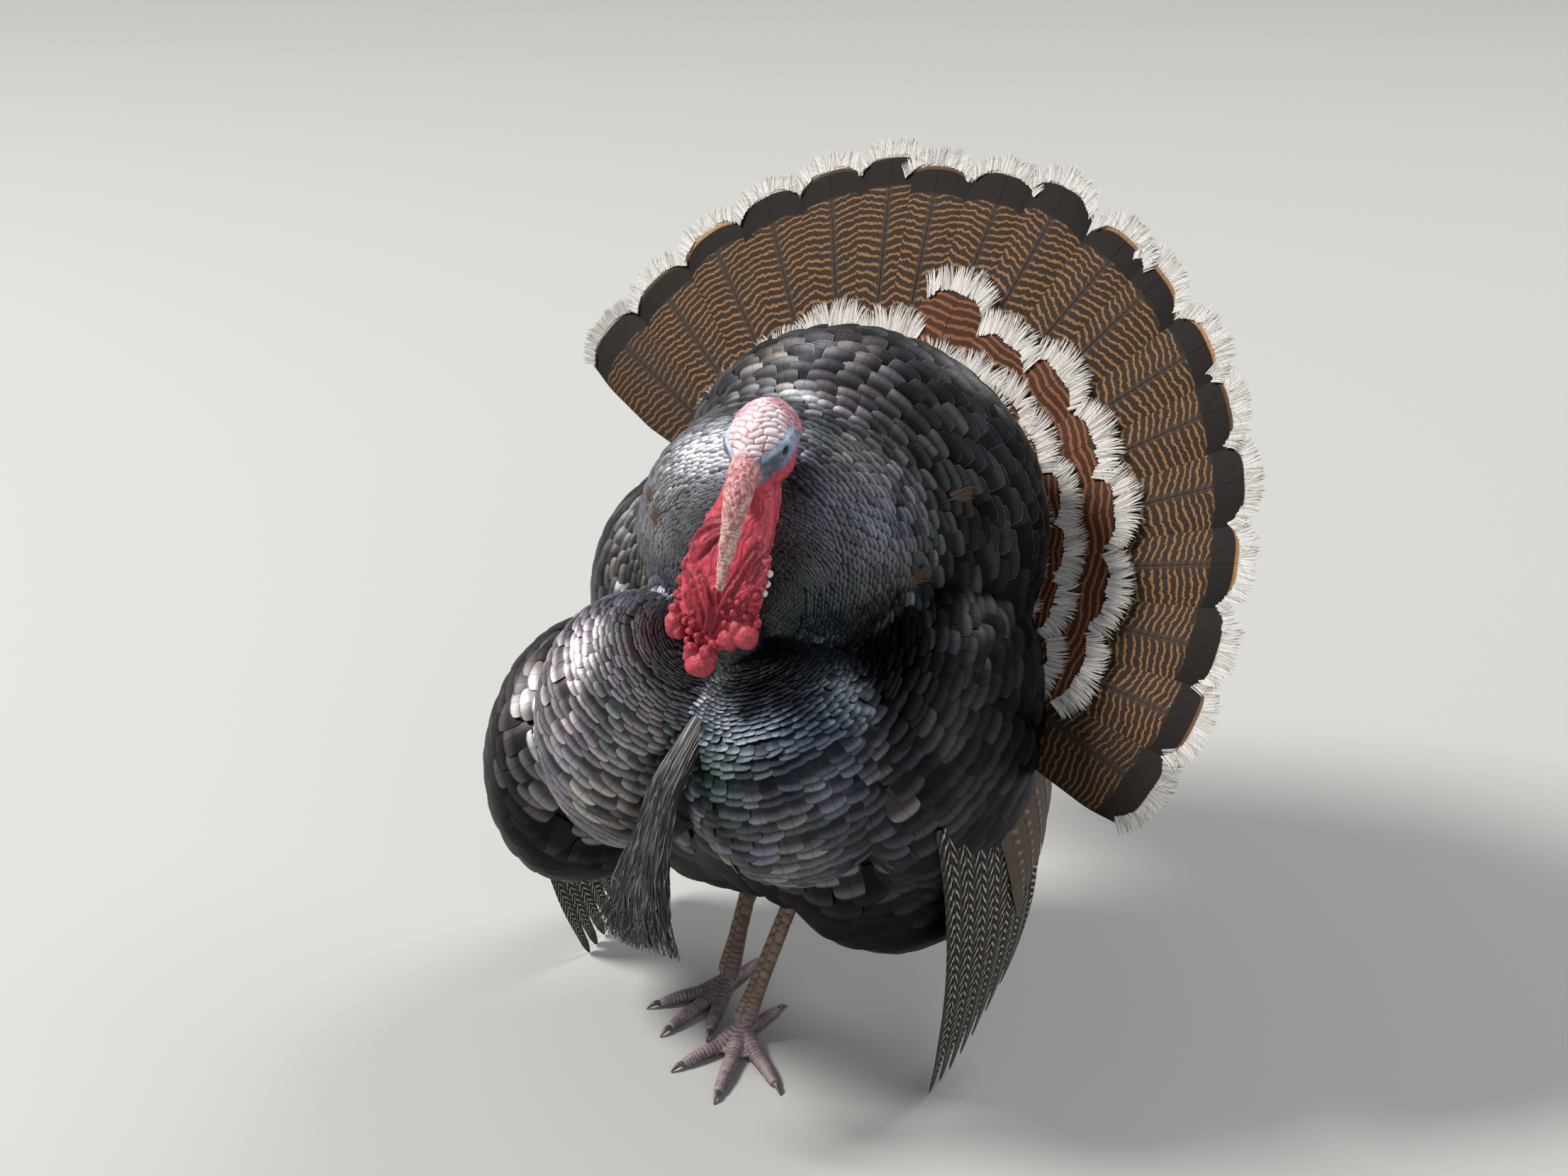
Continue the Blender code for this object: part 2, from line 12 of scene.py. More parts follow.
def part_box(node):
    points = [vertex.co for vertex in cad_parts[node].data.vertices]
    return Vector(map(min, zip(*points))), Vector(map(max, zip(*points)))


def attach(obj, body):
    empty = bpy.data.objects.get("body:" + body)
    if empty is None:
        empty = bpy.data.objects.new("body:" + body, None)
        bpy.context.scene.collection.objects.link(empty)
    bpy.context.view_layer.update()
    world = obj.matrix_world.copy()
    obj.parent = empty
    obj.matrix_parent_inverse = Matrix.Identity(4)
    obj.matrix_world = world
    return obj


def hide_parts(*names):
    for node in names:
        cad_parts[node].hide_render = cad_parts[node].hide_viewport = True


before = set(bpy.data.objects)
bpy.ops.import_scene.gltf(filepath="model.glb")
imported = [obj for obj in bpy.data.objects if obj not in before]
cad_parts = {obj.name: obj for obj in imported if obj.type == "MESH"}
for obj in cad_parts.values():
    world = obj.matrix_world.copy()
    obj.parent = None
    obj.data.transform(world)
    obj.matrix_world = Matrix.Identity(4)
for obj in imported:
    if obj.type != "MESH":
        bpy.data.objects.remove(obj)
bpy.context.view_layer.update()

# Wild turkey tom in display: skin, feathers, bare head, beard, legs and the studio round them.
# Lengths are in metres.  Shapes are made in the solids' own plan, where the bird faces -Y and its
# left is +X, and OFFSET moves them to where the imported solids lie.

RANDOM = np.random.default_rng(20)

# ---- plan of the solids ----

# The body's melted lobes: centre and radii.
LOBES = {
    "upper_breast": ((0.006, -0.014, 0.495), (0.128, 0.112, 0.105)),
    "back": ((0.036, 0.071, 0.483), (0.172, 0.090, 0.165)),
    "breast_right": ((-0.079, -0.132, 0.342), (0.085, 0.085, 0.115)),
    "breast_left": ((0.066, -0.124, 0.332), (0.088, 0.088, 0.105)),
    "wing_left_shoulder": ((0.156, -0.004, 0.327), (0.078, 0.125, 0.135)),
    "wing_right_shoulder": ((-0.179, -0.044, 0.247), (0.085, 0.120, 0.125)),
    "scapulars_right": ((-0.110, 0.026, 0.407), (0.080, 0.110, 0.100)),
    "belly": ((0.006, 0.021, 0.277), (0.150, 0.145, 0.150)),
    "thigh_left": ((0.096, 0.000, 0.199), (0.105, 0.098, 0.098)),
    "thigh_right": ((-0.064, 0.022, 0.205), (0.105, 0.098, 0.092)),
    "rump": ((-0.012, 0.126, 0.327), (0.108, 0.085, 0.135)),
}
LOBE_BLEND = 0.010
BODY_CENTRE = np.array((0.006, 0.016, 0.337))
BODY_REACH = 0.60
HEAD_CENTRE = Vector((0.035, -0.114, 0.613))
HEAD_YAW = math.radians(10.0)
HEAD_LOBES = (
    ((0.0, 0.010, 0.004), (0.027, 0.031, 0.027)),
    ((0.0, -0.014, 0.004), (0.024, 0.026, 0.019)),
    ((0.0, -0.028, -0.012), (0.017, 0.026, 0.017)),
    ((0.0, 0.000, -0.016), (0.0255, 0.026, 0.020)),
)
HEAD_BLEND = 0.004
EYE_PLACE = Vector((0.0205, -0.0185, 0.0035))
EYE_RADIUS = 0.0058
# The bare neck, down to where it runs in under the feathers.
NECK_PATH = (
    (0.030, -0.112, 0.597), (0.027, -0.118, 0.567), (0.020, -0.124, 0.532),
    (0.014, -0.128, 0.488), (0.0125, -0.119, 0.448), (0.0125, -0.104, 0.400),
)
NECK_RADII = (
    (0.018, 0.017), (0.024, 0.025), (0.0265, 0.029),
    (0.0235, 0.0275), (0.0200, 0.0235), (0.0185, 0.0200),
)
THROAT_PATH = (
    (0.038, -0.137, 0.591), (0.036, -0.152, 0.562), (0.032, -0.166, 0.533),
    (0.0285, -0.175, 0.506), (0.024, -0.180, 0.482), (0.021, -0.183, 0.463),
)
# The throat's radii in the solids, on whose border the small caruncles sit, and in the skin.
THROAT_RADII = (
    (0.018, 0.012), (0.028, 0.015), (0.035, 0.017), (0.037, 0.018), (0.034, 0.015), (0.020, 0.010),
)
THROAT_SKIN_RADII = (
    (0.018, 0.0105), (0.028, 0.0120), (0.0352, 0.0130),
    (0.0366, 0.0132), (0.0300, 0.0105), (0.0120, 0.0075),
)
SNOOD_PATH = (
    (0.041, -0.146, 0.615), (0.0445, -0.165, 0.608), (0.047, -0.180, 0.593),
    (0.0465, -0.190, 0.570), (0.0445, -0.197, 0.546), (0.042, -0.201, 0.524),
)
SNOOD_RADII = (0.0112, 0.0122, 0.0113, 0.0082, 0.0055, 0.0034)
BEARD_PATH = (
    (0.010, -0.182, 0.412), (0.003, -0.216, 0.357), (-0.009, -0.229, 0.297),
    (-0.022, -0.232, 0.237), (-0.030, -0.230, 0.189),
)
BEARD_RADII = ((0.010, 0.007), (0.012, 0.009), (0.015, 0.011), (0.024, 0.012), (0.032, 0.007))
TAIL_ROOT = np.array((-0.008, 0.151, 0.381))
TAIL_YAW = math.radians(-13.9)
TAIL_TILT = math.radians(35.6)
TAIL_LEAN = math.radians(18.0)
TAIL_DISH = math.radians(4.8)
# Each sheet of wing feathers: arcs along its upper and its lower edge, and the number of feathers.
WINGS = {
    "wing_left_secondaries": (
        ((0.202, -0.044, 0.307), (0.241, 0.040, 0.360), (0.172, 0.135, 0.385)),
        ((0.222, 0.010, 0.140), (0.226, 0.105, 0.165), (0.160, 0.195, 0.265)),
        9,
    ),
    "wing_left_primaries": (
        ((0.202, -0.110, 0.266), (0.220, -0.044, 0.257), (0.219, 0.046, 0.242)),
        ((0.180, -0.082, 0.000), (0.185, -0.035, -0.010), (0.202, 0.045, 0.070)),
        7,
    ),
    "wing_right_secondaries": (
        ((-0.219, -0.074, 0.257), (-0.254, 0.026, 0.317), (-0.180, 0.125, 0.372)),
        ((-0.262, -0.010, 0.115), (-0.255, 0.085, 0.145), (-0.170, 0.180, 0.255)),
        9,
    ),
    "wing_right_primaries": (
        ((-0.234, -0.069, 0.207), (-0.254, -0.014, 0.212), (-0.242, 0.066, 0.207)),
        ((-0.205, -0.030, 0.000), (-0.207, 0.030, -0.020), (-0.213, 0.090, 0.055)),
        7,
    ),
}
LEGS = {
    "left": {
        "shank": ((0.030, -0.015, 0.175), (-0.006, -0.074, 0.023)),
        "toes": ((-0.034, -0.138, 0.0), (0.012, -0.160, 0.0), (0.050, -0.127, 0.0)),
        "hind": (0.004, -0.030, 0.0),
    },
    "right": {
        "shank": ((-0.044, 0.045, 0.165), (-0.055, -0.013, 0.023)),
        "toes": ((-0.098, -0.066, 0.0), (-0.072, -0.095, 0.0), (-0.038, -0.083, 0.0)),
        "hind": (-0.048, 0.033, 0.0),
    },
}
SHANK_RADII = (0.0105, 0.0078, 0.0085, 0.011)
TOE_RADII = (0.0095, 0.0078, 0.0068, 0.0058, 0.0046)
HIND_RADII = (0.0075, 0.006, 0.0045)
TOE_HEIGHT = 0.0042
PALM_DROP = 0.0110
BODY_LOBES = list(LOBES.values())
LEFT = np.array((1.0, 0.0, 0.0))
EYE_LEFT = Matrix.Translation(HEAD_CENTRE) @ Matrix.Rotation(HEAD_YAW, 4, "Z") @ EYE_PLACE
EYE_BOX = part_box("eye_left")
OFFSET = np.array(((EYE_BOX[0] + EYE_BOX[1]) / 2 - EYE_LEFT) * Vector((1, 1, 0)))


def unit(vectors):
    """Vectors brought to length 1."""
    return vectors / np.maximum(np.linalg.norm(vectors, axis=-1, keepdims=True), 1e-12)


def smoothstep(values, low, high):
    """Eases from 0 at low to 1 at high."""
    share = np.clip((values - low) / (high - low), 0, 1)
    return share * share * (3 - 2 * share)


def hashed(values):
    """A repeatable number from 0 to 1 for each whole number."""
    return np.modf(np.abs(np.sin(values * 12.9898 + 4.1) * 43758.5453))[0]


def smooth_noise(points, scale, seed=0.0):
    """Smooth noise from about -1 to 1 at each point."""
    shift = Vector((seed, seed * 1.7, -seed))
    return np.array([noise.noise(Vector(point) * scale + shift) for point in points])


# ---- the melted lobes ----

# A ray is searched from outside in this many steps, and the crossing then halved this often.
COARSE_STEPS = 91
HALVINGS = 14


def lobe_distances(points, lobes):
    """About how far each point lies outside each lobe; below 0 it lies inside."""
    distances = []
    for centre, radii in lobes:
        scaled = (points - np.array(centre)) / np.array(radii)
        size = np.linalg.norm(scaled, axis=-1)
        slope = np.linalg.norm(scaled / np.array(radii), axis=-1)
        distances.append(size * (size - 1) / np.maximum(slope, 1e-9))
    return np.stack(distances, -1)


def melted(distances, blend):
    """The least of the distances, rounded off where two of them are close."""
    nearest = distances.min(-1)
    return nearest - blend * np.log(np.exp(-(distances - nearest[..., None]) / blend).sum(-1))


def body_field(points):
    """How far points lie outside the body's surface; below 0 they lie inside."""
    return melted(lobe_distances(points, BODY_LOBES), LOBE_BLEND)


def body_slope(points, step=0.0004):
    """The body's field at each point, and how it rises along x, y and z."""
    middle = body_field(points)
    slopes = []
    for axis in range(3):
        moved = points.copy()
        moved[..., axis] += step
        slopes.append((body_field(moved) - middle) / step)
    return middle, np.stack(slopes, -1)


def settle(points, level, rounds=3):
    """Moves points along the slope until they lie at a height above the body's surface."""
    for _ in range(rounds):
        height, slope = body_slope(points)
        size = np.maximum((slope**2).sum(-1, keepdims=True), 0.05)
        points = points - slope * (height - level)[..., None] / size
    return points


def reach_surface(centre, directions, lobes, blend, reach, level=0.0):
    """The outermost point of the lobes along each direction from the centre."""

    def within(distance):
        return melted(lobe_distances(centre + directions * distance, lobes), blend) < level

    steps = np.linspace(reach, 0.0, COARSE_STEPS)
    inside = np.zeros(len(directions))
    found = np.zeros(len(directions), bool)
    for step in steps:
        hit = within(step) & ~found
        inside[hit] = step
        found |= hit
    outside = inside + steps[0] - steps[1]
    for _ in range(HALVINGS):
        middle = (inside + outside) / 2
        hit = within(middle[:, None])
        inside = np.where(hit, middle, inside)
        outside = np.where(hit, outside, middle)
    return centre + directions * inside[:, None]


def lobed_form(centre, lobes, blend, reach, cuts, level=0.0):
    """Points and quads of the lobes' surface: a fine cube blown out onto it."""
    bm = bmesh.new()
    bmesh.ops.create_cube(bm, size=2.0)
    bmesh.ops.subdivide_edges(bm, edges=bm.edges, cuts=cuts, use_grid_fill=True)
    corners = np.array([vert.co for vert in bm.verts])
    bowed = np.tan(corners * math.pi / 4)
    surface = reach_surface(np.array(centre), unit(bowed), lobes, blend, reach, level)
    for vert, point in zip(bm.verts, surface):
        vert.co = point
    corners = np.array([vert.co for vert in bm.verts])
    quads = np.array([[vert.index for vert in face.verts] for face in bm.faces])
    bm.free()
    return corners, quads


# ---- meshes ----

NO_QUADS = np.empty((0, 4), int)
NO_TRIANGLES = np.empty((0, 3), int)
SHARP_ANGLE = 55
SMOOTH_ANGLE = 180


def mesh_from(name, points, faces, maps=(), colours=()):
    """A mesh from arrays: faces are arrays of quads or triangles, maps and colours one per point."""
    mesh = bpy.data.meshes.new(name)
    corners = np.concatenate([block.ravel() for block in faces]).astype(np.int32)
    sizes = np.concatenate([np.full(len(block), block.shape[1]) for block in faces])
    starts = np.concatenate([[0], np.cumsum(sizes)[:-1]]).astype(np.int32)
    mesh.vertices.add(len(points))
    mesh.vertices.foreach_set("co", (points + OFFSET).astype(np.float32).ravel())
    mesh.loops.add(len(corners))
    mesh.loops.foreach_set("vertex_index", corners)
    mesh.polygons.add(len(sizes))
    mesh.polygons.foreach_set("loop_start", starts)
    mesh.update(calc_edges=True)
    for title, values in maps:
        layer = mesh.uv_layers.new(name=title)
        layer.data.foreach_set("uv", values[corners].astype(np.float32).ravel())
    for title, values in colours:
        attribute = mesh.color_attributes.new(title, "FLOAT_COLOR", "POINT")
        attribute.data.foreach_set("color", values.astype(np.float32).ravel())
    return mesh


def added(name, data):
    """A new object with this data, in the scene."""
    obj = bpy.data.objects.new(name, data)
    bpy.context.scene.collection.objects.link(obj)
    return obj


def piece(name, mesh, material, sharp=SHARP_ANGLE):
    """Puts a smooth mesh in the scene, on the bird's one body, with its material."""
    mesh.shade_smooth()
    mesh.set_sharp_from_angle(angle=math.radians(sharp))
    mesh.materials.clear()
    mesh.materials.append(material)
    obj = added(name, mesh)
    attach(obj, "root")
    return obj


def joined(blocks):
    """Joins blocks of points and faces into one."""
    points, quads, triangles, start = [], [], [], 0
    for block_points, block_faces in blocks:
        for faces in block_faces:
            (quads if faces.shape[1] == 4 else triangles).append(faces + start)
        points.append(block_points)
        start += len(block_points)
    return np.concatenate(points), [np.concatenate(quads), np.concatenate(triangles)]


def per_point(values, each):
    """Repeats each form's row for every one of its points."""
    return np.repeat(values, each, axis=0)


def numbered(*shape):
    """Numbers the points of a grid in order."""
    return np.arange(math.prod(shape)).reshape(shape)


def band_quads(index):
    """Quads round tubes.  index numbers the points by tube, station and place in the ring."""
    after = np.roll(index, -1, 2)
    quads = np.stack([index[:, :-1], index[:, 1:], after[:, 1:], after[:, :-1]], -1)
    return quads.transpose(2, 0, 1, 3).reshape(-1, 4)


def capped(rings, poles):
    """A closed form from rings of points and a pole before the first and past the last."""
    count, sides = rings.shape[:2]
    index = numbered(count, sides)
    after = np.roll(index, -1, 1)
    quads = np.stack([index[:-1], index[1:], after[1:], after[:-1]], -1).reshape(-1, 4)
    pole = np.full(sides, count * sides)
    first = np.stack([pole, index[0], after[0]], -1)
    last = np.stack([pole + 1, after[-1], index[-1]], -1)
    return np.concatenate([rings.reshape(-1, 3), poles]), [quads, np.concatenate([first, last])]


# ---- paths and tubes ----

# A tube's end swells by this share of its radius, with rings at these shares of the swelling.
CAP_BULGE = 0.8
CAP_LIFTS = (0.5, 0.85)


def smooth_path(points, steps):
    """A smooth curve through the points, with this many steps between two of them."""
    points = [Vector(point) for point in points]
    ends = [2 * points[0] - points[1]] + points + [2 * points[-1] - points[-2]]
    curve = []
    for before, start, end, after in zip(ends, ends[1:], ends[2:], ends[3:]):
        slope = end - before
        bend = 2 * before - 5 * start + 4 * end - after
        twist = 3 * start - before - 3 * end + after
        for t in (step / steps for step in range(steps)):
            curve.append(0.5 * (2 * start + slope * t + bend * t**2 + twist * t**3))
    return np.array(curve + [points[-1]])


def path_rings(points, radii, steps):
    """Centres, across and depth vectors with their lengths, and run, along a smooth path."""
    path = smooth_path(points, steps)
    pairs = np.array([radius if isinstance(radius, tuple) else (radius, radius) for radius in radii])
    knots = np.linspace(0, 1, len(pairs))
    along = np.linspace(0, 1, len(path))
    run = unit(np.gradient(path, axis=0))
    depth = unit(np.cross(run, LEFT))
    across = unit(np.cross(depth, run))
    wide = np.interp(along, knots, pairs[:, 0])[:, None]
    deep = np.interp(along, knots, pairs[:, 1])[:, None]
    return path, across * wide, depth * deep, run


def read_at(share, *columns):
    """Centres, across and depth vectors of a path, read off at shares of its length."""
    knots = np.linspace(0, 1, len(columns[0]))
    return [np.stack([np.interp(share, knots, rows[:, k]) for k in range(3)], -1) for rows in columns]


def ring_of(centre, wide, deep, turn):
    """Points round an ellipse."""
    return centre + np.outer(np.cos(turn), wide) + np.outer(np.sin(turn), deep)


def tube_mesh(points, radii, sides=28, steps=8, shrink=0.0):
    """Points and faces of a closed smooth tube with rounded ends."""
    path, across, depth, run = path_rings(points, radii, steps)
    thin = 1 - shrink / np.minimum(np.linalg.norm(across, axis=1), np.linalg.norm(depth, axis=1))
    across, depth = across * thin[:, None], depth * thin[:, None]
    turn = np.linspace(0, 2 * math.pi, sides, endpoint=False)
    body = path[:, None] + across[:, None] * np.cos(turn)[None, :, None]
    body = body + depth[:, None] * np.sin(turn)[None, :, None]
    caps, poles = [], []
    for end, way in ((0, -1), (-1, 1)):
        wide, deep = across[end], depth[end]
        bulge = run[end] * way * min(np.linalg.norm(wide), np.linalg.norm(deep)) * CAP_BULGE
        shrunk = [(lift, math.sqrt(1 - lift**2)) for lift in CAP_LIFTS[::way]]
        caps.append([ring_of(path[end] + bulge * lift, wide * size, deep * size, turn)
                     for lift, size in shrunk])
        poles.append(path[end] + bulge)
    return capped(np.concatenate([caps[0], body, caps[1]]), poles)


def ball(centre, radii, around=20, rings=12):
    """Points and faces of an ellipsoid."""
    lift = np.linspace(0, math.pi, rings + 1)[1:-1]
    turn = np.linspace(0, 2 * math.pi, around, endpoint=False)
    across, height = np.sin(lift), np.outer(np.cos(lift), np.ones(around))
    grid = np.stack([np.outer(across, np.cos(turn)), np.outer(across, np.sin(turn)), height], -1)
    points, faces = capped(grid, [[0, 0, 1], [0, 0, -1]])
    return points * np.array(radii) + np.array(centre), faces


# ---- vanes ----

TIP_CROWDING = 1.35
# Size of each small feather's own patch on the bake map.
PATCH = 0.003


def vane_stations(rows):
    """Places along a vane, closer together towards its tip."""
    return 1 - (1 - np.linspace(0, 1, rows + 1)) ** TIP_CROWDING


def vane_map(points, across, along):
    """The place of each point on its feather: across from 0 to 1, and along."""
    place = np.empty(points.shape[:-1] + (2,))
    place[..., 0] = across
    place[..., 1] = along
    return place.reshape(-1, 2)


def vanes(spine, half, normal, columns, tip_round, cup, outline=2.2):
    """Closed thin vanes.  spine, half and normal hold one row per station: the shaft's point, the
    vector from it to the vane's edge, and the outward direction.  Returns points, faces and the
    place of each point on its vane."""
    count, stations = spine.shape[:2]
    across = np.linspace(-1, 1, columns + 1)
    along = np.linspace(0, 1, stations)
    run = np.gradient(spine, axis=1)
    length = np.linalg.norm(run, axis=-1).sum(1)
    back = unit(run)[:, :, None] * (length[:, None] * tip_round * along**4)[..., None, None]
    points = spine[:, :, None] + half[:, :, None] * across[None, None, :, None]
    points = points - back * (np.abs(across) ** outline)[None, None, :, None]
    width = np.linalg.norm(half, axis=-1)[..., None, None]
    points = points - normal[:, :, None] * (cup * width * (across**2)[None, None, :, None])
    index = numbered(count, stations, columns + 1)
    top = [index[:, :-1, :-1], index[:, :-1, 1:], index[:, 1:, 1:], index[:, 1:, :-1]]
    under = [index[:, :-1, 0], index[:, 1:, 0], index[:, 1:, -1], index[:, :-1, -1]]
    quads = [np.stack(side, -1).reshape(-1, 4) for side in (top, under)]
    ends = []
    for row, order in ((index[:, 0], (0, 2, 1)), (index[:, -1], (0, 1, 2))):
        for k in range(1, columns):
            ends.append(np.stack([row[:, 0], row[:, k], row[:, k + 1]], -1)[:, order])
    place = vane_map(points, across / 2 + 0.5, along[None, :, None])
    return points.reshape(-1, 3), [np.concatenate(quads), np.concatenate(ends)], place


def feather_piece(name, made, chart, colours, material):
    """One mesh of small feathers: made is what vanes returned, and chart and colours hold a row for
    each feather, with a patch of its own on the bake map."""
    points, faces, place = made
    each = len(points) // len(chart)
    patch = per_point(chart, each) + PATCH * (place - 0.5)
    colours = [(title, per_point(np.column_stack(rows), each)) for title, rows in colours]
    return piece(name, mesh_from(name, points, faces, (("UVMap", place), ("OFBake", patch)), colours),
                 material)


# ---- tract of small feathers over the body ----

NECK_BASE = np.array((0.018, -0.135, 0.480))
POLAR_FIRST = 3.0
POLAR_LAST = 178.0
POLAR_STEPS = 176
TURN_STEPS = 361
ROW_STEP = 0.0021
ROOT_SCATTER = 0.05
STYLE_BLEND = 0.010
UP_TAIL = np.array((0.0, 0.55, 0.83))

# Feathers of each part of the body: width, visible length, how much the tip is rounded, colour,
# rim colour, and how strongly the rim shows.  The colours hold painted light: the breasts and the
# upper breast are painted lighter as if lit, the bird's right breast most, and the back, the right
# shoulder, the belly and the thighs are painted darker as painted shade.
STYLES = {
    "upper_breast": (0.0132, 0.0062, 0.10, (0.185, 0.188, 0.218), (0.30, 0.30, 0.34), 0.20),
    "back": (0.0175, 0.0076, 0.06, (0.066, 0.060, 0.061), (0.40, 0.37, 0.34), 0.42),
    "breast_right": (0.0175, 0.0090, 0.08, (0.360, 0.335, 0.360), (0.30, 0.28, 0.30), 0.22),
    "breast_left": (0.0175, 0.0090, 0.08, (0.200, 0.198, 0.225), (0.26, 0.25, 0.27), 0.22),
    "wing_left_shoulder": (0.0180, 0.0100, 0.08, (0.052, 0.046, 0.053), (0.15, 0.13, 0.12), 0.18),
    "wing_right_shoulder": (0.0172, 0.0105, 0.08, (0.014, 0.012, 0.013), (0.10, 0.09, 0.08), 0.14),
    "scapulars_right": (0.0175, 0.0092, 0.07, (0.088, 0.082, 0.086), (0.34, 0.31, 0.28), 0.40),
    "belly": (0.0190, 0.0105, 0.10, (0.009, 0.007, 0.006), (0.06, 0.04, 0.03), 0.14),
    "thigh_left": (0.0190, 0.0105, 0.10, (0.010, 0.008, 0.007), (0.06, 0.04, 0.03), 0.14),
    "thigh_right": (0.0190, 0.0105, 0.10, (0.009, 0.007, 0.006), (0.06, 0.04, 0.03), 0.14),
    "rump": (0.0185, 0.0105, 0.08, (0.042, 0.030, 0.023), (0.30, 0.20, 0.12), 0.32),
}
STYLE_TABLE = np.array([[*STYLES[name][:3], *STYLES[name][3], *STYLES[name][4], STYLES[name][5]]
                        for name in LOBES])
# Iridescent tints that drift over the coat, and spots of painted highlight, glint and shadow laid over
# the coat's colour: centre, reach and colour.
GLEAMS = ((0.110, 0.135, 0.200), (0.190, 0.150, 0.180), (0.105, 0.150, 0.138), (0.190, 0.155, 0.120))
PAINTED_LIGHT_SPOTS = (
    ((0.026, -0.200, 0.366), 0.036, (0.110, 0.195, 0.165)),
    ((0.085, -0.175, 0.405), 0.050, (0.110, 0.150, 0.240)),
    ((-0.145, -0.165, 0.385), 0.070, (0.560, 0.500, 0.520)),
    ((-0.055, -0.087, 0.544), 0.055, (0.520, 0.530, 0.570)),
    ((0.096, -0.065, 0.538), 0.045, (0.290, 0.290, 0.340)),
    ((0.188, 0.042, 0.500), 0.075, (0.014, 0.012, 0.013)),
    ((0.070, -0.120, 0.440), 0.080, (0.050, 0.085, 0.095)),
)
PAINTED_LIGHT_STRENGTH = 0.75
# Pieces of the coat: their slot, and the lobes whose feathers they hold.
COAT_PIECES = {
    "feathers_upper_right": ("feather_breast", ("upper_breast",)),
    "feathers_upper_left": ("feather_breast", ("upper_breast",)),
    "feathers_back": ("feather_black", ("back", "scapulars_right")),
    "feathers_breast_left": ("feather_breast", ("breast_left",)),
    "feathers_breast_right": ("feather_breast", ("breast_right",)),
    "feathers_sides": ("feather_black", ("wing_left_shoulder", "wing_right_shoulder")),
    "feathers_under": ("feather_black", ("belly", "thigh_left", "thigh_right", "rump")),
}
COAT_ROWS = 7
COAT_COLUMNS = 6
COAT_CUP = 0.11
COAT_OUTLINE = 4.0
# Length of a feather, as a share of the length that shows and at least of its width.
COAT_OVERLAP = 2.4
COAT_SHORTEST = 1.15
COAT_HALF_WIDTH = 0.66
COAT_SCATTER = 0.06
COAT_DEEPEST = 0.0055


def coat_flow(points, normals):
    """Which way feathers point: away from the neck's base, but up the tail's back over the rump."""
    away = unit(points - NECK_BASE)
    behind = smoothstep(points[:, 1], 0.100, 0.150) * smoothstep(0.43 - points[:, 2], 0.0, 0.05)
    flow = away * (1 - behind[:, None]) + UP_TAIL * behind[:, None]
    flow = flow - normals * (flow * normals).sum(-1, keepdims=True)
    return unit(flow)


def body_axes():
    """From the body's centre to the neck's base, to the left of that line, and to its front."""
    axis = unit(NECK_BASE - BODY_CENTRE)
    left = unit(LEFT - axis * axis[0])
    return axis, left, np.cross(axis, left)


def body_polar():
    """A grid of places on the body by angle from the neck's base and turn about that line."""
    axis, left, front = body_axes()
    polar = np.radians(np.linspace(POLAR_FIRST, POLAR_LAST, POLAR_STEPS))[:, None, None]
    turn = np.linspace(0, 2 * math.pi, TURN_STEPS)[None, :, None]
    directions = np.cos(polar) * axis + np.sin(polar) * (np.cos(turn) * left + np.sin(turn) * front)
    surface = reach_surface(
        BODY_CENTRE, directions.reshape(-1, 3), BODY_LOBES, LOBE_BLEND, BODY_REACH
    )
    return surface.reshape(POLAR_STEPS, TURN_STEPS, 3), polar.ravel(), turn.ravel()


def round_map(polar, turn):
    """A place on the coat's round map, with the neck's base in its middle."""
    flat = polar / math.pi / 2
    return np.stack([0.5 + flat * np.cos(turn), 0.5 + flat * np.sin(turn)], -1)


def body_chart(points):
    """The place of body points on the coat's round map."""
    axis, left, front = body_axes()
    heading = unit(points - BODY_CENTRE)
    polar = np.arccos(np.clip(heading @ axis, -1, 1))
    return round_map(polar, np.arctan2(heading @ front, heading @ left))


def style_at(points):
    """Blends the styles of the lobes near each point."""
    distances = lobe_distances(points, BODY_LOBES)
    weights = np.exp(-(distances - distances.min(-1, keepdims=True)) / STYLE_BLEND)
    weights /= weights.sum(-1, keepdims=True)
    return weights @ STYLE_TABLE, distances.argmin(-1)


def coat_growth(points):
    """How much larger feathers are than at a middle distance from the neck's base."""
    reach = np.linalg.norm(points - NECK_BASE, axis=-1)
    return 0.36 + 1.02 * smoothstep(reach, 0.050, 0.235)


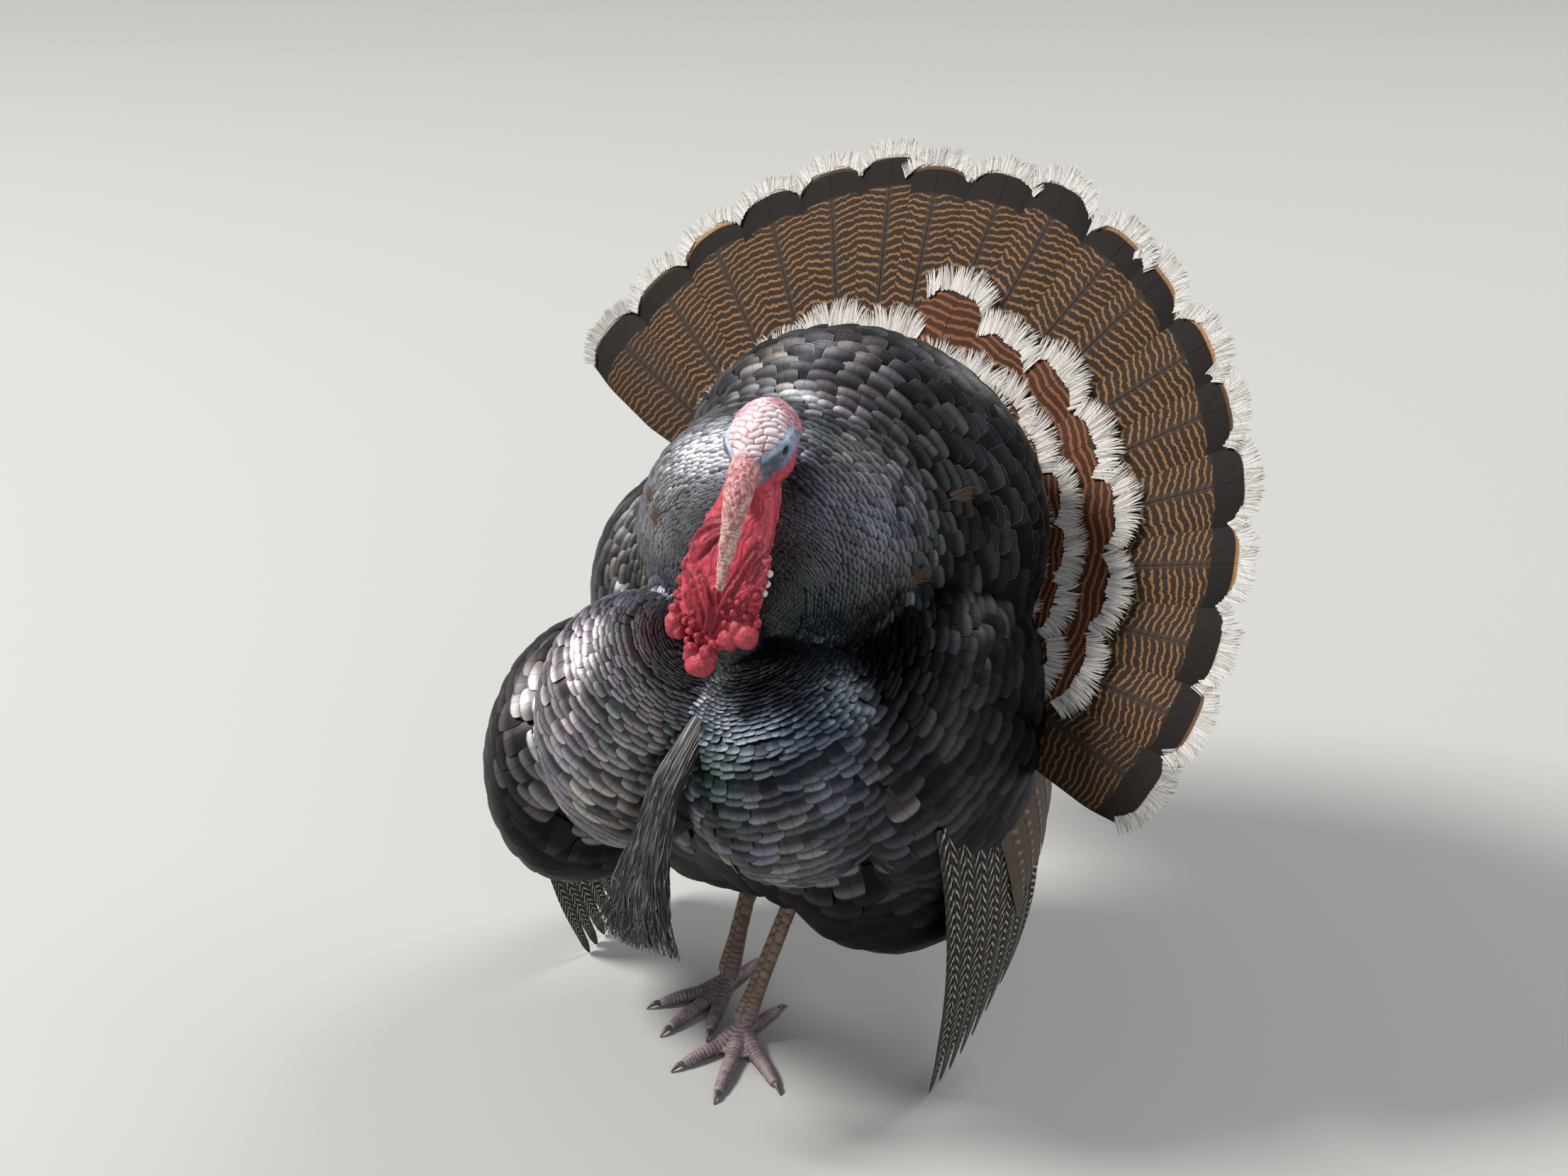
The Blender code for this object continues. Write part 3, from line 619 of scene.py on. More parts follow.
def coat_roots():
    """Places of the small feathers: staggered rows round the neck's base.  A row of the finest
    spacing is skipped wherever the feathers of its place are longer than that spacing."""
    surface, polar, turn = body_polar()
    steps = np.linalg.norm(np.diff(surface, axis=0), axis=-1)
    run = np.concatenate([np.zeros((1, TURN_STEPS)), np.cumsum(steps, 0)])
    mean_run = run.mean(1)
    places = []
    for row in range(1, int(mean_run[-1] / ROW_STEP)):
        at = np.interp(row * ROW_STEP, mean_run, np.arange(POLAR_STEPS))
        low = min(int(at), POLAR_STEPS - 2)
        share = at - low
        ring = surface[low] * (1 - share) + surface[low + 1] * share
        gap = ROW_STEP * (run[low + 1] - run[low]) / (mean_run[low + 1] - mean_run[low])
        style, _ = style_at(ring)
        growth = coat_growth(ring)
        width = style[:, 0] * growth
        every = np.maximum(1, np.round(style[:, 1] * growth / np.maximum(gap, 1e-4))).astype(int)
        along = np.linalg.norm(np.diff(ring, axis=0), axis=-1)
        density = along / ((width[1:] + width[:-1]) / 2)
        total = np.concatenate([[0], np.cumsum(density)])
        for parity in (0, 1):
            wanted = np.arange(0.25 + 0.5 * parity, total[-1])
            wanted = wanted + RANDOM.normal(0, ROOT_SCATTER, len(wanted))
            spot = np.interp(wanted, total, np.arange(TURN_STEPS))
            near = np.clip(np.round(spot).astype(int), 0, TURN_STEPS - 1)
            lower = np.clip(spot.astype(int), 0, TURN_STEPS - 2)
            part = (spot - lower)[:, None]
            points = ring[lower] * (1 - part) + ring[lower + 1] * part
            kept = (row % every[near] == 0) & (row // every[near] % 2 == parity)
            visible = gap[near] * every[near]
            angles = np.interp(spot, np.arange(TURN_STEPS), turn)
            chart = round_map(np.interp(at, np.arange(POLAR_STEPS), polar), angles)
            places.append(np.column_stack([points, width[near], visible, chart])[kept])
    return np.concatenate(places)


def coat_colours(points, style, luck):
    """Colour and rim colour of each small feather, and how strongly the rim shows."""
    base, rim = style[:, 3:6], style[:, 6:9]
    drift = smooth_noise(points, 16.0)
    fine = smooth_noise(points, 60.0, 3.0)
    gleam = np.zeros((len(points), 3))
    share = (drift * 1.6 + 0.5) * (len(GLEAMS) - 1)
    for k, colour in enumerate(GLEAMS):
        gleam += np.clip(1 - np.abs(share - k), 0, 1)[:, None] * np.array(colour)
    bright = base.mean(-1, keepdims=True) / 0.15
    tint = base * 0.5 + gleam * 0.5 * bright
    # Painted highlights, glints and shadows, laid over the colour at fixed spots.
    for centre, reach, colour in PAINTED_LIGHT_SPOTS:
        gap = np.linalg.norm(points - np.array(centre), axis=-1)
        near = PAINTED_LIGHT_STRENGTH * np.exp(-((gap / reach) ** 2))[:, None]
        tint = tint * (1 - near) + np.array(colour) * near
    calm = 1 - smoothstep(np.linalg.norm(points - NECK_BASE, axis=-1), 0.08, 0.20)
    varied = 0.42 + 1.15 * luck**1.6
    shade = varied * (1 - 0.6 * calm) + 0.9 * 0.6 * calm + 0.35 * fine
    return np.clip(tint * shade[:, None], 0.004, 1), rim * (0.6 + 0.7 * luck[:, None]), style[:, 9]


def march(roots, length, rows, root_level, tip_level):
    """Lays each feather's shaft along the body, rising from its root to its tip."""
    share = vane_stations(rows)
    points = settle(roots, 0.0)
    spine, normals = [], []
    for k in range(rows + 1):
        level = root_level + (tip_level - root_level) * share[k]
        _, slope = body_slope(points)
        normal = unit(slope)
        spine.append(points + normal * level[:, None])
        normals.append(normal)
        if k < rows:
            flow = coat_flow(points, normal)
            points = settle(points + flow * (length * (share[k + 1] - share[k]))[:, None], 0.0, 2)
    return np.stack(spine, 1), np.stack(normals, 1)


def contour_width(along):
    """Half width of a small feather along its length, as a share of its widest."""
    return 0.60 + 0.40 * smoothstep(along, 0.0, 0.45) - 0.08 * smoothstep(along, 0.80, 1.0)


def sides_of(spine, normals):
    """The direction across each feather at each of its stations."""
    return unit(np.cross(unit(np.gradient(spine, axis=1)), normals))


def make_coat(material):
    """Small feathers all over the body, in one piece for each part of it."""
    places = coat_roots()
    roots, width, visible, chart = places[:, :3], places[:, 3], places[:, 4], places[:, 5:7]
    style, lobe = style_at(roots)
    count = len(roots)
    luck = RANDOM.random(count)
    length = np.maximum(visible * COAT_OVERLAP, width * COAT_SHORTEST)
    length = length * RANDOM.normal(1, COAT_SCATTER, count)
    tips = 0.0004 + 0.10 * visible + RANDOM.normal(0, 1, count) * (0.0001 + 0.022 * visible)
    depth = -np.minimum(COAT_DEEPEST, 0.20 * length)
    spine, normals = march(roots, length, COAT_ROWS, depth, tips)
    run = unit(np.gradient(spine, axis=1))
    lean = RANDOM.normal(0, COAT_SCATTER, count)[:, None, None]
    roll = RANDOM.normal(0, COAT_SCATTER, count)[:, None, None]
    side = unit(sides_of(spine, normals) + run * lean + normals * roll)
    half = side * (width * COAT_HALF_WIDTH)[:, None, None]
    half = half * contour_width(vane_stations(COAT_ROWS))[None, :, None]
    tint, rim, edge = coat_colours(roots, style, luck)
    names = list(LOBES)
    for title, (slot, lobes) in COAT_PIECES.items():
        own = np.isin(lobe, [names.index(name) for name in lobes])
        if "upper" in title:
            own = own & ((roots[:, 0] > NECK_BASE[0]) == title.endswith("left"))
        made = vanes(spine[own], half[own], normals[own], COAT_COLUMNS, style[own, 2].mean(),
                     COAT_CUP, COAT_OUTLINE)
        colours = (("tint", (tint[own], luck[own])), ("rim", (rim[own], edge[own])))
        feather_piece(title, made, chart[own], colours, material)


# ---- quills of the tail and wings ----

QUILL_CUP = 0.10
QUILL_FLOOR = 0.0005
SHAFT_SUNK = 0.0004
SHAFT_RISE = 0.75
# Cross-sections of a loose barb: how far past the vane's tip they lie, and how thick they are.
BARB_SECTIONS = ((-0.55, 1.15), (0.30, 1.10), (0.72, 0.80), (1.0, 0.0))
BARB_RAISED = 0.0004
BARBS_CLUMPED = 7
BARBS_WORN = 9


class FanLayer(NamedTuple):
    """One row of the fan's feathers, from its right end to its left."""

    count: int
    half_spread: float  # of the whole row, in degrees
    inner: float  # radius at which the vanes start
    outer: tuple  # radius of the tips, at the right and the left end
    rise: tuple  # towards the fan's front, at the ends and in the middle
    widest: float  # half width of a vane
    rounded: float  # how far a tip's corners fall back, as a share of the vane
    frayed: float  # length of the loose barbs
    uneven: float  # scatter of the tips
    rows: int
    columns: int
    barbs: int
    look: str
    slot: str
    replaced: tuple  # nodes of the part that this row stands for


FAN_LAYERS = {
    "tail_quills": FanLayer(
        18, 92, 0.030, (0.4030, 0.4030), (-0.0035, 0.0035), 0.0420, 0.050, 0.0130, 0.0030,
        44, 14, 96, "quill", "tail_brown", ("tail_feathers",)),
    "tail_coverts_long": FanLayer(
        11, 84, 0.060, (0.232, 0.296), (0.0065, 0.0085), 0.0400, 0.070, 0.0190, 0.0090,
        26, 12, 84, "covert", "tail_chestnut", ("tail_coverts_upper",)),
    "tail_coverts_middle": FanLayer(
        13, 86, 0.060, (0.192, 0.243), (0.0100, 0.0120), 0.0330, 0.070, 0.0170, 0.0080,
        22, 10, 70, "covert", "tail_chestnut", ()),
    "tail_coverts_short": FanLayer(
        15, 86, 0.060, (0.174, 0.218), (0.0145, 0.0165), 0.0270, 0.070, 0.0150, 0.0050,
        20, 10, 60, "covert", "tail_chestnut", ()),
    "tail_coverts_small": FanLayer(
        21, 86, 0.050, (0.150, 0.192), (0.0195, 0.0215), 0.0190, 0.060, 0.0070, 0.0030,
        14, 8, 26, "small", "tail_chestnut", ("tail_coverts_small",)),
    "tail_coverts_under": FanLayer(
        13, 66, 0.050, (0.190, 0.190), (-0.0120, -0.0150), 0.0240, 0.080, 0.0120, 0.0040,
        20, 10, 30, "under", "tail_chestnut", ("tail_coverts_under",)),
}
FAN_TURN_SCATTER = 0.006
FAN_SWAY = 0.004
# Half width of a vane, as a share of its place in the row, with what it has at the root.
FAN_OVERLAP = 0.74
FAN_ROOT_WIDTH = 0.004
FAN_OUTLINE = 3.0

WING_ROWS = 30
WING_COLUMNS = 8
WING_OVERLAP = 0.66
WING_ROUNDED = 0.05
WING_OUTLINE = 1.6
WING_UNEVEN = 0.02
# The share of a wing feather that runs on up under the coat, how far the secondaries' roots are
# drawn in to it, how far a sheet swells outwards, and how far its last feather lies over its first.
WING_BURIED = 0.12
WING_TUCK = 0.024
WING_BOW = 0.05
WING_STACK = 0.0036
# The step across a sheet by which its direction is found.
WING_NUDGE = 0.01


def fan_axes():
    """Up along the middle feather, to the bird's left, and out of the fan's front."""
    up = np.array((0, math.sin(TAIL_TILT), math.cos(TAIL_TILT)))
    front = np.array((0, -math.cos(TAIL_TILT), math.sin(TAIL_TILT)))
    leaned = up * math.cos(TAIL_LEAN) + LEFT * math.sin(TAIL_LEAN)
    side = LEFT * math.cos(TAIL_LEAN) - up * math.sin(TAIL_LEAN)
    turn = np.array(Matrix.Rotation(TAIL_YAW, 3, "Z"))
    return turn @ leaned, turn @ side, turn @ front


def fan_spokes(turns):
    """Each feather's direction, the direction across it, and its outward normal."""
    up, side, front = fan_axes()
    turns = np.asarray(turns)[:, None]
    flat = up * np.cos(turns) + side * np.sin(turns)
    across = side * np.cos(turns) - up * np.sin(turns)
    along = flat * math.cos(TAIL_DISH) + front * math.sin(TAIL_DISH)
    normal = front * math.cos(TAIL_DISH) - flat * math.sin(TAIL_DISH)
    return along, across, normal


def fan_vanes(layer):
    """Shaft, half width and normal of each feather of a row, the middle ones in front."""
    count = layer.count
    spread = math.radians(layer.half_spread)
    share = (np.arange(count) + 0.5) / count
    turns = spread * (2 * share - 1) + RANDOM.normal(0, FAN_TURN_SCATTER, count)
    along, across, normal = fan_spokes(turns)
    tip = layer.outer[0] + (layer.outer[1] - layer.outer[0]) * share
    tip = tip + RANDOM.normal(0, layer.uneven, count)
    stations = vane_stations(layer.rows)
    radius = layer.inner + (tip - layer.inner)[:, None] * stations[None, :]
    lift = layer.rise[1] + (layer.rise[0] - layer.rise[1]) * np.abs(2 * share - 1)
    sway = RANDOM.normal(0, FAN_SWAY, count)[:, None] * stations**2
    spine = TAIL_ROOT + along[:, None] * radius[..., None] + normal[:, None] * lift[:, None, None]
    spine = spine + across[:, None] * sway[..., None]
    half_width = np.minimum(layer.widest, radius * (2 * spread / count) * FAN_OVERLAP + FAN_ROOT_WIDTH)
    half_width = half_width * (1 - 0.10 * smoothstep(stations, 0.86, 1.0))
    return spine, across[:, None] * half_width[..., None], np.repeat(normal[:, None], layer.rows + 1, 1)


def fringe(spine, half, normal, fray, tips):
    """Loose barbs past the tip of each vane: thin slips that splay, clump and curve a little."""
    count = len(spine)
    length, each = fray
    rounded, outline = tips
    across = np.linspace(-0.98, 0.98, each)[None, :] + RANDOM.normal(0, 0.5 / each, (count, each))
    run = unit(spine[:, -1] - spine[:, -2])
    vane = np.linalg.norm(np.diff(spine, axis=1), axis=-1).sum(1)
    fallen = (run * (vane * rounded)[:, None])[:, None] * (np.abs(across) ** outline)[..., None]
    start = spine[:, -1, None] + half[:, -1, None] * across[..., None] - fallen
    side = unit(half[:, -1])
    clump = RANDOM.normal(0, 0.13, (count, each // BARBS_CLUMPED + 1))
    clump = per_barb(clump, BARBS_CLUMPED, each)
    splay = across * 0.50 + clump + RANDOM.normal(0, 0.06, (count, each))
    heading = unit(run[:, None] + side[:, None] * splay[..., None])
    out = normal[:, -1, None] * RANDOM.normal(0, 0.10, (count, each))[..., None]
    wear_and_sheen = per_barb(RANDOM.random((count, each // BARBS_WORN + 1)), BARBS_WORN, each)
    reach = 0.62 + 0.34 * wear_and_sheen + 0.24 * RANDOM.random((count, each))
    reach = length * reach * (1 - 0.25 * across**2)
    curl = side[:, None] * (np.sign(across) * 0.12)[..., None]
    thick = (1.5 * np.linalg.norm(half[:, -1], axis=-1) / each)[:, None, None]
    barb_side = unit(np.cross(heading, normal[:, -1, None]))
    points, place = [], []
    for share, wide in BARB_SECTIONS:
        bent = heading + out * max(share, 0) + curl * max(share, 0) ** 2
        middle = start + bent * (reach * share)[..., None] + normal[:, -1, None] * BARB_RAISED
        for offset in (-1, 1) if wide else (0,):
            points.append(middle + barb_side * thick * wide * offset)
            place.append(np.stack([across / 2 + 0.5, np.full_like(across, 1 + 0.08 * share)], -1))
    index = numbered(count * each, len(points))
    quads = np.concatenate([index[:, [0, 1, 3, 2]], index[:, [2, 3, 5, 4]]])
    points, place = np.stack(points, 2), np.stack(place, 2)
    return points.reshape(-1, 3), [quads, index[:, [4, 5, 6]]], place.reshape(-1, 2)


def per_barb(values, together, each):
    """Gives neighbouring barbs of each feather the same value."""
    return np.repeat(values, together, axis=1)[:, :each]


def shafts(spine, normal, half):
    """A tapered ridge along each long feather's middle."""
    count, stations = spine.shape[:2]
    side = unit(half)
    share = np.linspace(0, 1, stations)[None, :, None]
    widest = np.linalg.norm(half, axis=-1).max(1)[:, None, None]
    size = (0.0013 + 0.02 * widest) * (1.0 - 0.92 * share)
    sunk = normal * SHAFT_SUNK
    rise = normal * size * SHAFT_RISE
    points = np.stack([spine - side * size - sunk, spine + rise, spine + side * size - sunk,
                       spine - rise], 2)
    index = numbered(count, stations, 4)
    root, tip = index[:, 0], index[:, -1]
    ends = [root[:, [0, 1, 2]], root[:, [0, 2, 3]], tip[:, [2, 1, 0]], tip[:, [3, 2, 0]]]
    place = vane_map(points, 0.5, share * 0.97)
    return points.reshape(-1, 3), [band_quads(index), np.concatenate(ends)], place


def strip_chart(place, count):
    """Lays each long feather in its own strip of the bake map."""
    own = np.repeat(np.arange(count), len(place) // count)
    across = (own + 0.06 + 0.88 * np.clip(place[:, 0], 0, 1)) / count
    return np.stack([across, 0.03 + 0.86 * place[:, 1]], -1)


def quill_piece(name, quills, material, columns, tips, fray, tints):
    """One mesh of long feathers with shafts and frayed tips.  quills is their spine, half width and
    normal, tips how far the corners fall back and along what curve, fray a length and a count."""
    spine, half, normal = quills
    count = len(spine)
    blocks = [vanes(spine, half, normal, columns, tips[0], QUILL_CUP, tips[1])]
    if fray:
        blocks.append(fringe(spine, half, normal, fray, tips))
    blocks.append(shafts(spine, normal, half))
    points, faces = joined([block[:2] for block in blocks])
    points[:, 2] = np.maximum(points[:, 2], QUILL_FLOOR)
    places = [block[2] for block in blocks]
    charts = [strip_chart(place, count) for place in places]
    colours = [per_point(tints, len(place) // count) for place in places]
    mesh = mesh_from(name, points, faces,
                     (("UVMap", np.concatenate(places)), ("OFBake", np.concatenate(charts))),
                     (("tint", np.concatenate(colours)),))
    return piece(name, mesh, material)


def make_tail(materials):
    """The fan, row by row, and the coverts behind it."""
    for name, layer in FAN_LAYERS.items():
        quills = fan_vanes(layer)
        luck = RANDOM.random(layer.count)
        side = np.linspace(-1, 1, layer.count)
        tints = np.stack([np.abs(side), np.sign(side) * 0.5 + 0.5, luck, luck], -1)
        obj = quill_piece(name + "_vanes", quills, materials[layer.look], layer.columns,
                          (layer.rounded, FAN_OUTLINE), (layer.frayed, layer.barbs), tints)
        if layer.replaced:
            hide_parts(*layer.replaced)


def bow(curve, share):
    """A point on the arc through a start, a middle and an end."""
    start, middle, end = (np.array(point) for point in curve)
    share = np.asarray(share)[..., None]
    return start * (1 - share) ** 2 + middle * 2 * share * (1 - share) + end * share**2


def blade_point(root_edge, tip_edge, across, down):
    """A point on a wing's sheet of feathers, which swells outwards between its edges."""
    outward = LEFT * math.copysign(1.0, root_edge[0][0])
    top, bottom = bow(root_edge, across), bow(tip_edge, across)
    down = np.asarray(down)[..., None]
    return top + (bottom - top) * down + outward * (WING_BOW * down * (1 - down))


def make_wings(materials):
    """The drooped wings: sheets of overlapping primaries and secondaries."""
    for name, (root_edge, tip_edge, count) in WINGS.items():
        kind = name.split("_")[-1]
        sign = math.copysign(1.0, root_edge[0][0])
        across = np.repeat(((np.arange(count) + 0.5) / count)[:, None], WING_ROWS + 1, 1)
        down = np.repeat(vane_stations(WING_ROWS)[None], count, 0) * (1 + WING_BURIED) - WING_BURIED
        down = down * (1 - WING_UNEVEN * RANDOM.random((count, 1)))
        middle = blade_point(root_edge, tip_edge, across, down)
        side = blade_point(root_edge, tip_edge, across + WING_NUDGE, down) - middle
        side = side / WING_NUDGE * (WING_OVERLAP / count)
        run = unit(np.gradient(middle, axis=1))
        normal = unit(np.cross(run, side)) * sign
        normal = np.where((normal[..., :1] * sign) < 0, -normal, normal)
        stack = (np.arange(count)[:, None, None] / count - 0.5) * WING_STACK
        spine = middle + normal * stack
        if kind == "secondaries":
            spine[..., 0] -= sign * WING_TUCK * (1 - smoothstep(down, 0.02, 0.30))
        half = side * (1 - 0.45 * smoothstep(down, 0.70, 1.0))[..., None]
        if (np.cross(run, half)[..., 0] * sign).mean() > 0:
            half = -half
        tints = np.stack([RANDOM.random(count)] * 4, -1)
        obj = quill_piece(name + "_vanes", (spine, half, normal), materials[kind],
                          WING_COLUMNS, (WING_ROUNDED, WING_OUTLINE), (), tints)
        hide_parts(name)


# ---- beard ----

BRISTLES = 720
BRISTLE_STEPS = 16
BRISTLE_SIZE = 0.00078
BRISTLE_CLUMPS = 17
CHART_COLUMNS = 20
# Where along the beard's path the bristles start, and how deep they are sunk in the breast there.
BEARD_FIRST = 0.12
BEARD_SUNK = 0.048


def make_beard(material):
    """Coarse bristles that hang in kinked clumps and spread towards their tips."""
    path, across, depth, _ = path_rings(BEARD_PATH, BEARD_RADII, 6)
    clump = RANDOM.integers(0, BRISTLE_CLUMPS, BRISTLES)
    clump_turn = RANDOM.random(BRISTLE_CLUMPS) * 2 * math.pi
    clump_reach = np.sqrt(RANDOM.random(BRISTLE_CLUMPS))
    turn = clump_turn[clump] + RANDOM.normal(0, 0.35, BRISTLES)
    reach = np.clip(clump_reach[clump] + RANDOM.normal(0, 0.16, BRISTLES), 0, 1)
    ends = np.where(RANDOM.random(BRISTLES) < 0.25, 0.55 + 0.4 * RANDOM.random(BRISTLES), 1.0)
    ends = ends * (1 - 0.08 * RANDOM.random(BRISTLE_CLUMPS)[clump])
    down = np.linspace(0, 1, BRISTLE_STEPS)[None, :]
    share = BEARD_FIRST + (ends[:, None] - BEARD_FIRST) * down
    centre, wide, deep = read_at(share, path, across, depth)
    sunk = 1 - smoothstep(share, 0.06, 0.33)
    centre[..., 1] += BEARD_SUNK * sunk
    wave = RANDOM.random((BRISTLES, 1)) * 6.3
    kink = 0.11 * np.sin(share * 15 + wave) + 0.045 * np.sin(share * 33 + wave * 2.3)
    place_across = (np.cos(turn) * reach)[:, None] + kink
    place_deep = (np.sin(turn) * reach)[:, None] + 0.6 * np.roll(kink, 1, axis=0)
    flare = 0.92 + 0.38 * share**2 - 0.22 * sunk
    spine = centre + wide * (place_across * flare)[..., None] + deep * place_deep[..., None] * 0.95
    heading = unit(np.gradient(spine, axis=1))
    side = unit(np.cross(heading, np.array((0.3, 1.0, 0.1))))
    front = unit(np.cross(side, heading))
    size = (BRISTLE_SIZE * (1 - 0.55 * down**2))[..., None]
    back, step = spine - side * size * 0.5, front * size * 0.87
    points = np.stack([spine + side * size, back + step, back - step], 2)
    index = numbered(BRISTLES, BRISTLE_STEPS, 3)
    quads = band_quads(index)[:, [0, 3, 2, 1]]
    caps = np.concatenate([index[:, 0][:, [2, 1, 0]], index[:, -1]])
    number = np.arange(BRISTLES)[:, None, None]
    place = vane_map(points, 0.5, share[..., None])
    chart = vane_map(points, (number % CHART_COLUMNS + 0.5) / CHART_COLUMNS,
                     (number // CHART_COLUMNS + 0.1 + 0.8 * share[..., None])
                     / (BRISTLES // CHART_COLUMNS))
    tints = per_point(np.stack([RANDOM.random(BRISTLES)] * 4, -1), BRISTLE_STEPS * 3)
    mesh = mesh_from("beard_bristles", points.reshape(-1, 3), [quads, caps],
                     (("UVMap", place), ("OFBake", chart)), (("tint", tints),))
    obj = piece("beard_bristles", mesh, material)
    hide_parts("beard")


# ---- skin ----

# How far the plucked body lies under the coat's surface.
SKIN_DEPTH = 0.0075
BODY_CUTS = 34
SMOOTH_ROUNDS = 2
# Size of the cells that melt the forms into one skin, and the share of its faces that is kept.
HEAD_VOXEL = 0.00072
HEAD_KEPT = 0.31
LEG_VOXEL = 0.00085
LEG_KEPT = 0.32
LEG_RELIEF = 0.0009
# Colour of the plucked body under the coat: dark down, kept near black as painted shade in the gaps
# between the feathers.
DARK_DOWN_AND_GAP_SHADE = (0.020, 0.017, 0.015, 0.75)
# The skull's form: how far its rays start from its centre, its cuts, and its depth in the skin.
HEAD_REACH = 0.08
HEAD_CUTS = 22
HEAD_DEPTH = 0.0008
LITTLE_CARUNCLES = 60
# Raised folds of the throat: the paths of their crests and their radii.
FOLDS = (
    (((0.0400, -0.1570, 0.5720), (0.0250, -0.1610, 0.5600), (0.0115, -0.1630, 0.5545),
      (0.0030, -0.1639, 0.5442), (0.0027, -0.1689, 0.5369), (0.0050, -0.1739, 0.5288)),
     (0.0030, 0.0043, 0.0044, 0.0042, 0.0036, 0.0018)),
    (((0.0330, -0.1650, 0.5550), (0.0217, -0.1701, 0.5499), (0.0139, -0.1749, 0.5412),
      (0.0092, -0.1751, 0.5313), (0.0080, -0.1774, 0.5250)), (0.0020, 0.0033, 0.0034, 0.0029, 0.0014)),
    (((-0.0010, -0.1734, 0.5195), (0.0055, -0.1816, 0.5138), (0.0131, -0.1866, 0.5025),
      (0.0185, -0.1896, 0.4906), (0.0205, -0.1904, 0.4798)), (0.0014, 0.0026, 0.0027, 0.0025, 0.0017)),
    (((0.0131, -0.1809, 0.5218), (0.0205, -0.1858, 0.5129), (0.0262, -0.1911, 0.5020),
      (0.0262, -0.1932, 0.4882), (0.0230, -0.1914, 0.4763)), (0.0012, 0.0027, 0.0029, 0.0027, 0.0018)),
    (((0.0318, -0.1876, 0.5122), (0.0322, -0.1894, 0.5004), (0.0300, -0.1907, 0.4876),
      (0.0279, -0.1924, 0.4770)), (0.0012, 0.0023, 0.0025, 0.0018)),
    (((0.0540, -0.1734, 0.5348), (0.0473, -0.1806, 0.5236), (0.0410, -0.1866, 0.5103),
      (0.0343, -0.1901, 0.4957), (0.0300, -0.1919, 0.4807)), (0.0014, 0.0027, 0.0029, 0.0027, 0.0018)),
    (((0.0585, -0.1584, 0.5530), (0.0561, -0.1686, 0.5439), (0.0507, -0.1763, 0.5316),
      (0.0449, -0.1831, 0.5169), (0.0385, -0.1889, 0.5034)), (0.0014, 0.0025, 0.0027, 0.0025, 0.0014)),
    (((0.0600, -0.1484, 0.5577), (0.0625, -0.1584, 0.5434), (0.0605, -0.1694, 0.5349),
      (0.0575, -0.1776, 0.5234)), (0.0015, 0.0028, 0.0029, 0.0020)),
    (((0.0010, -0.1754, 0.5100), (0.0065, -0.1834, 0.4980), (0.0110, -0.1876, 0.4870)),
     (0.0014, 0.0040, 0.0018)),
)
# Where all the folds of the throat run together, between the big caruncles.
FOLD_FOOT = np.array((0.024, -0.197, 0.466))
# Lumps of the throat's lower end and of its borders: centre and radius.
LOW_CARUNCLES = (
    ((-0.0046, -0.1720, 0.5212), 0.0044),
    ((-0.0070, -0.1745, 0.5086), 0.0052),
    ((-0.0084, -0.1770, 0.4975), 0.0050),
    ((-0.0101, -0.1800, 0.4850), 0.0060),
    ((0.0111, -0.1915, 0.4816), 0.0032),
    ((0.0098, -0.1925, 0.4755), 0.0040),
    ((0.0070, -0.1915, 0.4660), 0.0036),
    ((0.0130, -0.1970, 0.4615), 0.0066),
    ((0.0271, -0.1975, 0.4630), 0.0062),
    ((0.0320, -0.1955, 0.4695), 0.0044),
    ((0.0171, -0.1925, 0.4732), 0.0034),
    ((0.0105, -0.1880, 0.4893), 0.0032),
    ((0.0030, -0.1870, 0.4800), 0.0036),
    ((0.0533, -0.1838, 0.5026), 0.0040),
    ((0.0605, -0.1805, 0.4990), 0.0040),
    ((0.0635, -0.1805, 0.4890), 0.0042),
    ((0.0430, -0.1875, 0.5072), 0.0030),
    ((0.0389, -0.1905, 0.4966), 0.0030),
    ((0.0610, -0.1765, 0.5110), 0.0046),
    ((0.0560, -0.1795, 0.5080), 0.0034),
    ((0.0496, -0.1858, 0.5058), 0.0030),
    ((0.0467, -0.1875, 0.4972), 0.0040),
    ((0.0403, -0.1900, 0.4875), 0.0038),
    ((0.0560, -0.1840, 0.4940), 0.0040),
    ((0.0630, -0.1680, 0.5200), 0.0042),
    ((0.0632, -0.1620, 0.5300), 0.0038),
    ((0.0648, -0.1662, 0.5246), 0.0036),
    ((0.0640, -0.1690, 0.5170), 0.0036),
    ((0.0626, -0.1715, 0.5098), 0.0036),
)


# The three big caruncles, each of a few rounded lobes: centre and radii.
BIG_CARUNCLES = (
    ((-0.0095, -0.1815, 0.4725), (0.0092, 0.0105, 0.0125)),
    ((-0.0040, -0.1840, 0.4690), (0.0060, 0.0080, 0.0075)),
    ((0.0205, -0.1960, 0.4500), (0.0128, 0.0120, 0.0112)),
    ((0.0120, -0.1960, 0.4560), (0.0072, 0.0080, 0.0080)),
    ((0.0280, -0.1945, 0.4570), (0.0066, 0.0075, 0.0070)),
    ((0.0565, -0.1855, 0.4775), (0.0108, 0.0105, 0.0116)),
    ((0.0425, -0.1885, 0.4735), (0.0096, 0.0096, 0.0098)),
    ((0.0490, -0.1860, 0.4840), (0.0082, 0.0082, 0.0080)),
)
WHITE_BEADS = ((0.0678, -0.1655, 0.5262), (0.0668, -0.1680, 0.5182), (0.0655, -0.1705, 0.5108))
BEAD_RADIUS = 0.0026

